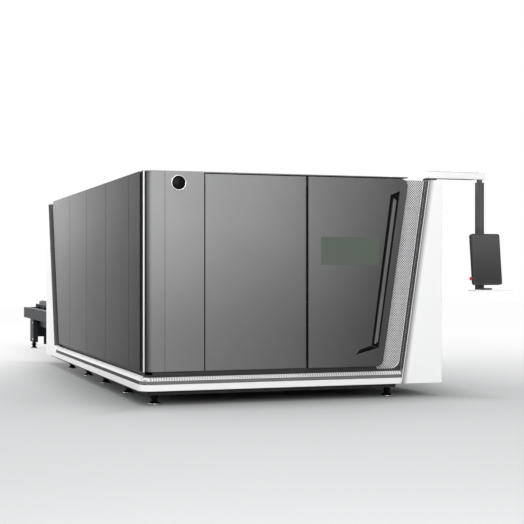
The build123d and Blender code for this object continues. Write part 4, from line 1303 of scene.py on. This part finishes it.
@dataclass
class EdgeTrim(Assembly):
    """Cheeks of painted shade, bead and fold beside the leaning edges, painted shade in the near corner,
    black seals, and painted shadow and a grey line round the console's arm.

    A leaning line is its place at the height line_z and its lean, in metres to the metre. The arc is
    the pillars' rolled edge: its middle along the line's direction and across it, and its radius.
    """

    left: float = -1.9725
    front: float = -5.1
    front_line: tuple[float, float] = (0.9705, 0.150)
    rear_line: tuple[float, float] = (0.391, 0.269)
    line_z: float = 1.430
    band: tuple[float, float] = (0.292, 2.270)
    band_face: float = 0.0785
    pillar_bottom: float = 0.145
    arc: tuple[float, float, float] = (0.055, 0.025, 0.055)
    front_sweep: float = 37.0
    bead_at: float = 42.0
    rear_sweep: float = 78.0
    turn_in: float = 0.100
    fold_in: float = 0.005
    # Painted shade: a black sheet on the flange at the back of the near corner's recess.
    corner_recess_shade: Plate = Plate((0.0236, 0.0008), 0.0003, 0.328, 2.289, 0.0003,
                               (-1.9602, -4.9545, 0.0), steps=3)
    side_seal: Plate = Plate((0.0012, 0.009), 0.0005, 0.331, 2.286, 0.0004, (-1.9725, 0.0, 0.0), steps=3)
    seams: Sequence[float] = (-4.4535, -3.2725, -2.1115, -0.9385)
    # Painted shadow in the gap between the pillar's top and the arm: black plates on both.
    pillar_shadow: Plate = Plate((0.128, 0.094), 0.012, 2.2752, 2.3002, 0.002, (1.186, -4.980, 0.0))
    arm_underside_shadow: Plate = Plate((0.560, 0.074), 0.010, 2.3006, 2.3024, 0.0006, (1.425, -4.980, 0.0))
    arm_top_line: Plate = Plate((0.600, 0.1006), 0.002, 2.3735, 2.3765, 0.0005, (1.452, -4.980, 0.0))
    bead_radius: float = 0.0035
    fold_radius: float = 0.0032

    def edge(self, line: tuple[float, float], height: Any) -> Any:
        """Gives the place of a leaning edge at a height: place + lean (height - line_z).

        Args:
            line: the leaning line.
            height: one height, or an array of heights.

        Returns:
            The place or places along the line's direction.
        """
        return line[0] + line[1] * (height - self.line_z)

    def cheek(self, line: tuple[float, float], sweep: float, plane: float) -> tuple[np.ndarray, np.ndarray]:
        """Wraps a thin sheet round a pillar's rolled edge, carried up along the leaning line.

        Section point = arc middle - radius (cos t, sin t), with t from 0 to sweep on the outside and
        back on the inside.

        Args:
            line: the leaning line.
            sweep: angle that the sheet covers, in degrees.
            plane: the face that the section's second number is measured from.

        Returns:
            The places along the line's own direction and across it, rows by height.
        """
        turn = np.radians(np.linspace(0.0, sweep, 12))
        across, out, radius = self.arc
        reach = np.concatenate([np.full(12, radius + 0.0008), np.full(12, radius + 0.0002)])
        angle = np.concatenate([turn, turn[::-1]])
        first = across - reach * np.cos(angle)
        second = plane + out - reach * np.sin(angle)
        heights = np.array(self.band)[:, None]
        return self.edge(line, heights) + first, np.repeat(second[None], 2, axis=0)

    def build_cheeks(self) -> None:
        """Builds the cheek of painted shade beside each band, and the white bead next to the front one."""
        heights = np.repeat(np.array(self.band)[:, None], 24, axis=1)
        # Painted shade: thin dark mesh sheets on the faces in shade beside each band.
        along, across = self.cheek(self.front_line, self.front_sweep, self.front)
        sheet = Surface.grid(np.stack([along, across, heights], axis=-1), True, True)
        self.add("front_cheek", sheet, "shaded_band_mesh", Body.MACHINE, "mesh")
        along, across = self.cheek(self.rear_line, self.rear_sweep, self.left)
        sheet = Surface.grid(np.stack([across, along, heights], axis=-1), True, True)
        self.add("rear_cheek", sheet, "shaded_band_mesh", Body.MACHINE, "mesh")
        middle_x, middle_y, radius = self.arc
        angle = math.radians(self.bead_at)
        climb = np.linspace(self.pillar_bottom, self.band[1], 3)
        bead_x = self.edge(self.front_line, climb) + middle_x - radius * math.cos(angle)
        bead_y = np.full(3, self.front + middle_y - radius * math.sin(angle))
        bead = Surface.tube(np.stack([bead_x, bead_y, climb], axis=1), self.bead_radius, 10)
        self.add("pillar_bead", bead, "white_paint", Body.MACHINE, "pillar_white")

    def build_fold(self) -> None:
        """Builds the front band's fold line, and a patch of painted shade outside its rounded lower corner.

        The corner is a quarter circle of radius turn_in: x = corner + r cos t, z = low + r (1 - sin t).
        """
        low, high = self.band
        bend = np.linspace(0.0, math.pi / 2, 10)
        corner = self.edge(self.front_line, low + self.turn_in) - self.turn_in - self.fold_in
        round_x = corner + self.turn_in * np.cos(bend)
        round_z = low + self.turn_in * (1.0 - np.sin(bend))
        fold_x = np.concatenate([[self.edge(self.front_line, high) - self.fold_in], round_x])
        fold_z = np.concatenate([[high - 0.002], round_z]) + 0.003
        face = self.front + self.band_face
        path = np.stack([fold_x, np.full(len(fold_x), face), fold_z], axis=1)
        fold = Surface.tube(path, self.fold_radius, 8)
        self.add("band_fold", fold, "white_paint", Body.MACHINE, "pillar_white")
        outline = [(low, float(self.edge(self.front_line, low)) - 0.0045)]
        outline += [(float(z), float(x)) for x, z in zip(round_x, round_z)]
        patch = Surface.prism(outline, face + 0.0003, face + 0.0012, Axis.Y)
        self.add("band_corner", patch, "shaded_band_mesh", Body.MACHINE, "mesh")

    def build_seals(self) -> None:
        """Builds the black sheet of painted shade in the near corner's recess, and the narrow seals between
        the left panels.
        """
        self.add("corner_recess_shade", Surface.slab(self.corner_recess_shade), "frame_paint", Body.MACHINE, "frame_dark")
        strips = Surface.slab(self.side_seal).repeat([(0.0, place, 0.0) for place in self.seams])
        self.add("side_seals", strips, "frame_paint", Body.MACHINE, "frame_dark")

    def build_arm_lines(self) -> None:
        """Builds the black plates of painted shadow in the gap under the arm, on the pillar and on the arm's
        underside, and a thin grey line round the arm just under its top.
        """
        plates = (self.pillar_shadow, self.arm_underside_shadow, self.arm_top_line)
        pillar_shadow_shape, underside_shadow_shape, seam = (Surface.slab(plate) for plate in plates)
        # The third plate is a thin grey line round the arm just under its top.
        self.add("pillar_shadow_plate", pillar_shadow_shape, "black_rubber", Body.MACHINE, "frame_dark")
        self.add("arm_underside_shadow_plate", underside_shadow_shape, "black_rubber", Body.ARM, "frame_dark")
        self.add("arm_top_grey_line", seam, "machine_paint", Body.ARM, "machine_grey")

    def build(self) -> None:
        """Builds every trim piece."""
        self.build_cheeks()
        self.build_fold()
        self.build_seals()
        self.build_arm_lines()


@dataclass
class RoofFittings(Assembly):
    """Lifting eyes, rows of screws and the fume spigot's bolted collar and grille.

    Turned profiles are pairs of radius and height.
    """

    top: float = 2.3
    screw_lines: tuple[float, float] = (-1.90, 1.17)
    screw_rows: tuple[float, float, float] = (-4.7, 0.5, 0.42)
    screw_radius: float = 0.008
    eyes: Sequence[tuple[float, float]] = ((-1.75, -4.3), (1.05, -4.3), (-1.75, 0.2), (1.05, 0.2))
    eye_radius: float = 0.026
    eye_height: float = 0.042
    eye_bar: float = 0.007
    eye_foot: Outline = ((0.0, 0.0), (0.026, 0.0), (0.026, 0.007), (0.014, 0.012), (0.014, 0.018),
                         (0.0, 0.018))
    spigot: Point = (-0.3585, 0.1, 2.3)
    collar: Outline = ((0.1505, 0.0), (0.195, 0.0), (0.195, 0.005), (0.192, 0.007), (0.154, 0.007),
                       (0.1505, 0.005))
    bolt: Outline = ((0.0, 0.0), (0.011, 0.0), (0.011, 0.007), (0.009, 0.009), (0.0, 0.009))
    bolt_circle: float = 0.174
    bolt_level: float = 0.007
    grille_radii: Sequence[float] = (0.04, 0.08, 0.12)
    grille_reach: float = 0.146
    grille_levels: tuple[float, float] = (0.045, 0.049)
    wire: float = 0.0025

    def circle(self, radius: float) -> tuple[np.ndarray, np.ndarray]:
        """Gives 32 points round a circle: radius cos t and radius sin t over a full turn.

        Args:
            radius: the circle's radius.

        Returns:
            The points' two coordinates.
        """
        turn = np.linspace(0.0, 2 * math.pi, 32, endpoint=False)
        return radius * np.cos(turn), radius * np.sin(turn)

    def build_screws(self) -> None:
        """Builds the rows of screws: each head is a low dome turned about Z, radius cos t by 3 mm sin t."""
        bend = np.linspace(0.0, math.pi / 2, 5)
        dome = [(self.screw_radius * math.cos(t), 0.001 + 0.003 * math.sin(t)) for t in bend]
        screw = Surface.lathe([(0.0, 0.0)] + dome, (0.0, 0.0, 0.0), Axis.Z, 12)
        rows = np.arange(*self.screw_rows)
        places = [(x, float(y), self.top) for x in self.screw_lines for y in rows]
        self.add("roof_screws", screw.repeat(places), "plated_steel", Body.MACHINE, "steel")

    def build_eyes(self) -> None:
        """Builds the lifting eyes: a bar carried round a circle in the XZ plane, on a turned foot."""
        across, up = self.circle(self.eye_radius)
        ring = np.stack([across, np.zeros(32), self.eye_height + up], axis=1)
        eye = Surface.tube(ring, self.eye_bar, 12, closed=True)
        foot = Surface.lathe(self.eye_foot, (0.0, 0.0, 0.0), Axis.Z, 24)
        eyes = (eye + foot).repeat([(x, y, self.top) for x, y in self.eyes])
        self.add("lifting_eyes", eyes, "plated_steel", Body.MACHINE, "steel")

    def build_collar(self) -> None:
        """Builds the spigot's collar and its eight bolts."""
        band = Surface.lathe(self.collar, self.spigot, Axis.Z, 64, ring=True)
        east, north, up = self.spigot
        bolts = [(east + self.bolt_circle * math.cos(a), north + self.bolt_circle * math.sin(a),
                  up + self.bolt_level) for a in np.arange(8) * math.pi / 4 + 0.2]
        bolt = Surface.lathe(self.bolt, (0.0, 0.0, 0.0), Axis.Z, 6)
        self.add("spigot_collar", band + bolt.repeat(bolts), "plated_steel", Body.MACHINE, "steel", (), 30.0)

    def build_grille(self) -> None:
        """Builds the spigot's grille: three wire rings and two wires across them."""
        low, high = (np.array(self.spigot) + np.array((0.0, 0.0, level)) for level in self.grille_levels)
        wires = []
        for radius in self.grille_radii:
            loop = np.stack([*self.circle(radius), np.zeros(32)], axis=1)
            wires.append(Surface.tube(loop + low, self.wire, 8, closed=True))
        for heading in (0.0, math.pi / 2):
            ahead = np.array((math.cos(heading), math.sin(heading), 0.0))
            reach = np.linspace(-self.grille_reach, self.grille_reach, 8)[:, None] * ahead
            wires.append(Surface.tube(reach + high, self.wire, 8))
        self.add("spigot_grille", Surface.gather(wires), "plated_steel", Body.MACHINE, "steel")

    def build(self) -> None:
        """Builds the fittings of the roof."""
        self.build_screws()
        self.build_eyes()
        self.build_collar()
        self.build_grille()


@dataclass
class FloorFittings(Assembly):
    """Bright rims and lock nuts of the levelling feet, and the bolts of the table's legs.

    Turned profiles are pairs of radius and height.
    """

    cabin_lines: tuple[float, float] = (-1.8225, 0.6955)
    cabin_rows: Sequence[float] = (-4.954, -3.783, -2.554, -1.474, -0.263)
    leg_lines: tuple[float, float] = (-1.6825, 0.9655)
    leg_rows: tuple[float, float] = (1.4, 4.32)
    rim_inside: float = 0.055
    rim_radius: float = 0.0605
    rim_middle: float = 0.005
    rim_bulge: float = 0.004
    nut: Outline = ((0.0305, 0.058), (0.041, 0.058), (0.044, 0.061), (0.044, 0.075), (0.041, 0.078),
                    (0.0305, 0.078))
    leg_faces: tuple[float, float] = (-1.7225, 1.0055)
    bolt: Outline = ((0.0, -0.012), (0.013, -0.012), (0.015, -0.010), (0.015, 0.0), (0.0, 0.0))
    bolt_heights: tuple[float, float] = (0.16, 0.44)
    bolt_offset: float = 0.15

    def build_feet(self) -> None:
        """Builds the feet's rims and nuts.

        A rim is a half-round band turned about Z, a nut a six-sided turned shape with bevelled ends.
        """
        bulge, middle = self.rim_bulge, self.rim_middle
        bend = np.linspace(-math.pi / 2, math.pi / 2, 7)
        rim = [(self.rim_radius + bulge * math.cos(t), middle + bulge * math.sin(t)) for t in bend]
        rim = [(self.rim_inside, middle - bulge)] + rim + [(self.rim_inside, middle + bulge)]
        band = Surface.lathe(rim, (0.0, 0.0, 0.0), Axis.Z, 40, ring=True)
        nut = Surface.lathe(self.nut, (0.0, 0.0, 0.0), Axis.Z, 6, ring=True)
        places = [(x, y, 0.0) for x in self.cabin_lines for y in self.cabin_rows]
        places += [(x, y, 0.0) for x in self.leg_lines for y in self.leg_rows]
        self.add("foot_rims", band.repeat(places), "plated_steel", Body.MACHINE, "steel", (), 60.0)
        self.add("foot_nuts", nut.repeat(places), "gloss_black", Body.MACHINE, "frame_dark", (), 20.0)

    def build_legs(self) -> None:
        """Builds the six-sided bolt heads on the outer faces of the table's legs."""
        bolt = Surface.lathe(self.bolt, (0.0, 0.0, 0.0), Axis.X, 6)
        other = Surface(bolt.points * np.array((-1.0, 1.0, 1.0)), [face[::-1] for face in bolt.faces])
        spots = [(y + dy, z) for y in self.leg_rows for dy in (-self.bolt_offset, self.bolt_offset)
                 for z in self.bolt_heights]
        left, right = ([(face, y, z) for y, z in spots] for face in self.leg_faces)
        self.add("leg_bolts", bolt.repeat(left) + other.repeat(right), "plated_steel", Body.MACHINE,
                 "steel", (), 20.0)

    def build(self) -> None:
        """Builds the feet's and the legs' fittings."""
        self.build_feet()
        self.build_legs()


@dataclass
class CabinetFittings(Assembly):
    """Louvres on both cabinet doors, and the isolator's knob and plate."""

    face: float = 1.6511
    doors: Sequence[tuple[Body, float]] = ((Body.CABINET_FRONT, -3.25), (Body.CABINET_REAR, -2.55))
    hood_out: float = 0.009
    hood_width: float = 0.34
    hood_drop: float = 0.020
    hood_pitch: float = 0.034
    hood_rows: Outline = ((0.30, 0.58), (1.52, 1.80))
    isolator: Point = (1.6511, -3.25, 1.32)
    plate: Plate = Plate((0.10, 0.10), 0.012, 0.0, 0.004, 0.0015, (1.6511, -3.25, 1.32), Axis.X)
    knob: Outline = ((0.0, 0.004), (0.030, 0.004), (0.030, 0.010), (0.027, 0.014), (0.022, 0.020),
                     (0.0, 0.021))

    def louvres(self, centre: float, heights: np.ndarray) -> Surface:
        """Pressed hoods: out = hood_out sin(0.62 pi s) (sin(pi w)) to the power 0.3, s down and w across.

        Args:
            centre: middle of the hoods along Y.
            heights: top of each hood.

        Returns:
            The hoods, standing on the door.
        """
        down = np.linspace(0.0, 1.0, 7)[:, None]
        across = np.linspace(0.0, 1.0, 15)[None, :]
        out = self.hood_out * np.sin(math.pi * down * 0.62) * np.sin(math.pi * across) ** 0.3
        sheet = np.broadcast_arrays(out, (across - 0.5) * self.hood_width, -self.hood_drop * down)
        points = np.stack(sheet, axis=-1)
        back = points.copy()
        back[..., 0] = -0.0005
        hood = Surface.grid(points) + Surface.grid(back[:, ::-1])
        return hood.repeat([(self.face, centre, float(z)) for z in heights])

    def build(self) -> None:
        """Builds the fittings of both doors."""
        heights = np.concatenate([np.arange(low, high, self.hood_pitch) for low, high in self.hood_rows])
        for body, centre in self.doors:
            self.add(f"louvres_{body.name.lower()}", self.louvres(centre, heights), "white_paint", body,
                     "pillar_white")
        self.add("isolator_plate", Surface.slab(self.plate), "yellow_moulding", Body.CABINET_FRONT, "yellow")
        self.add("isolator_knob", Surface.lathe(self.knob, self.isolator, Axis.X, 40), "red_moulding",
                 Body.CABINET_FRONT, "red")


@dataclass
class WorkFittings(Assembly):
    """Cable tray and links on the gantry, brass nozzle and collars on the head, and the ribbed shutter."""

    tray: Plate = Plate((0.11, 2.30), 0.004, -0.0195, -0.0135, 0.001, (-0.3585, -3.800, 1.215), Axis.Y)
    link: Plate = Plate((0.060, 0.040), 0.008, -0.0135, 0.0165, 0.003, (-0.3585, -3.800, 1.215), Axis.Y, 3)
    link_run: tuple[float, float, float] = (-1.08, 1.09, 0.045)
    head: Point = (-1.3585, -4.1606, 0.0)
    nozzle: Outline = ((0.0, 1.0402), (0.0042, 1.0402), (0.0145, 1.0695), (0.0145, 1.0710), (0.0, 1.0710))
    collars: Outline = ((1.135, 1.150), (1.172, 1.190), (1.205, 1.222))
    collar_radii: tuple[float, float, float] = (0.0342, 0.0375, 0.039)
    collar_bevel: float = 0.0015
    rib_pitch: float = 0.06
    rib_depth: float = 0.004

    def build_chain(self) -> None:
        """Builds the gantry's cable tray and the row of links in it."""
        self.add("cable_tray", Surface.slab(self.tray), "ground_steel", Body.GANTRY, "steel")
        shifts = [(float(x), 0.0, 0.0) for x in np.arange(*self.link_run)]
        links = Surface.slab(self.link).repeat(shifts)
        self.add("cable_links", links, "dark_moulding", Body.GANTRY, "frame_dark")

    def build_head(self) -> None:
        """Builds the head's brass tip and its collars, both turned about Z."""
        tip = Surface.lathe(self.nozzle, self.head, Axis.Z, 32)
        self.add("nozzle_tip", tip, "brass", Body.HEAD, "steel")
        inner, shoulder, outer = self.collar_radii
        rings = []
        for low, high in self.collars:
            ring = [(inner, low), (shoulder, low), (outer, low + self.collar_bevel),
                    (outer, high - self.collar_bevel), (shoulder, high), (inner, high)]
            rings.append(Surface.lathe(ring, self.head, Axis.Z, 40, ring=True))
        self.add("head_collars", Surface.gather(rings), "dark_moulding", Body.HEAD, "steel")

    def build_shutter(self) -> None:
        """Builds the ribbed shutter: a ring of four corners at each height, whose front edge waves.

        Front = face - rib depth (1 - cos(2 pi z / rib pitch)), with z from the shutter's foot.
        """
        low, high = (np.array(corner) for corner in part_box("rear_shutter"))
        height = np.linspace(low[2], high[2], 90)
        turn = 2 * math.pi * (height - low[2]) / self.rib_pitch
        corners = np.zeros((90, 4, 3))
        corners[:, :, 0] = (low[0], high[0], high[0], low[0])
        corners[:, :2, 1] = low[1]
        corners[:, 2:, 1] = (high[1] - self.rib_depth * (1.0 - np.cos(turn)))[:, None]
        corners[:, :, 2] = height[:, None]
        self.add("ribbed_shutter", Surface.grid(corners, True, True), "panel_paint", Body.SHUTTER,
                 "panel_dark", ("rear_shutter",), 50.0)

    def build(self) -> None:
        """Builds the working parts' fittings."""
        self.build_chain()
        self.build_head()
        self.build_shutter()


@dataclass
class ConsoleFittings(Assembly):
    """The stop button's mushroom head."""

    edge_share: float = 0.28
    neck_share: float = 0.6

    def build(self) -> None:
        """Builds the stop button, turned about X: a neck, then a cap whose edge is a half circle."""
        low, high = (np.array(corner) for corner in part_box("stop_button"))
        centre = (float(high[0]), float(low[1] + high[1]) / 2, float(low[2] + high[2]) / 2)
        reach, wide = float(high[0] - low[0]), float(high[2] - low[2]) / 2
        bend = np.linspace(-math.pi / 2, math.pi / 2, 9)
        half, neck = self.edge_share * reach, self.neck_share * wide
        cap = [(wide - half + half * math.cos(t), -reach + half - half * math.sin(t)) for t in bend[::-1]]
        profile = [(0.0, -reach)] + cap + [(neck, cap[-1][1]), (neck, 0.0), (0.0, 0.0)]
        self.add("stop_cap", Surface.lathe(profile, centre, Axis.X, 40), "red_moulding", Body.STOP, "red",
                 ("stop_button",), 50.0)


NODE_FINISHES = {
    "corner_paint": ("corner_panel",),
    "panel_paint": ("badge_panel", "middle_panel", "door_leaf", "left_panels", "right_panels",
                    "roof_panels", "rear_wall", "rear_shutter"),
    "pillar_paint": ("front_pillar",),
    "white_paint": ("rear_pillar", "far_pillar", "skirt", "console_arm",
                    "keyboard_shelf", "cabinet_case", "cabinet_door_front", "cabinet_door_rear"),
    "sill_paint": ("left_sill",),
    "post_paint": ("console_post", "monitor_bracket"),
    "frame_paint": ("base_frame", "cabin_frame", "door_jamb", "door_hangers", "console_socket",
                    "gantry_motors", "lift_cylinders"),
    "machine_paint": ("bed_frame", "gantry_beam", "carriage", "laser_source"),
    "table_paint": ("table_frame", "table_legs", "lift_frame", "upper_pallet", "lower_pallet"),
    "ground_steel": ("cabin_pallet_rails", "door_rail", "fume_spigot", "scrap_trays", "y_rails", "x_rails",
                     "cutting_head"),
    "cut_slats": ("upper_slats", "lower_slats"),
    "handle_paint": ("door_handle",),
    "band_mesh": ("front_mesh_band",),
    "shaded_band_mesh": ("rear_mesh_band",),
    "sill_mesh": ("front_sill",),
    "shaded_vent_mesh": ("vent_strips",),
    "laser_window": ("door_window",),
    "screen_glass": ("monitor_screen",),
    "gloss_black": ("badge", "levelling_feet"),
    "dark_moulding": ("monitor_housing", "stop_button_base"),
    "red_moulding": ("stop_button",),
    "strip_diffuser": ("corner_light",),
}


def main() -> None:
    """Builds the studio, dresses the nodes and adds the fine fittings."""
    logging.basicConfig(level=logging.INFO, format="%(message)s")
    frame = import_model()
    Studio().build()
    finishes = Finishes()
    choice = {node: finish for finish, nodes in NODE_FINISHES.items() for node in nodes}
    finishes.dress(frame["nodes"], choice)
    for fittings in (FrontTrim, EdgeTrim, RoofFittings, FloorFittings, CabinetFittings, WorkFittings,
                     ConsoleFittings):
        fittings(finishes).build()


if __name__ == "__main__":
    main()
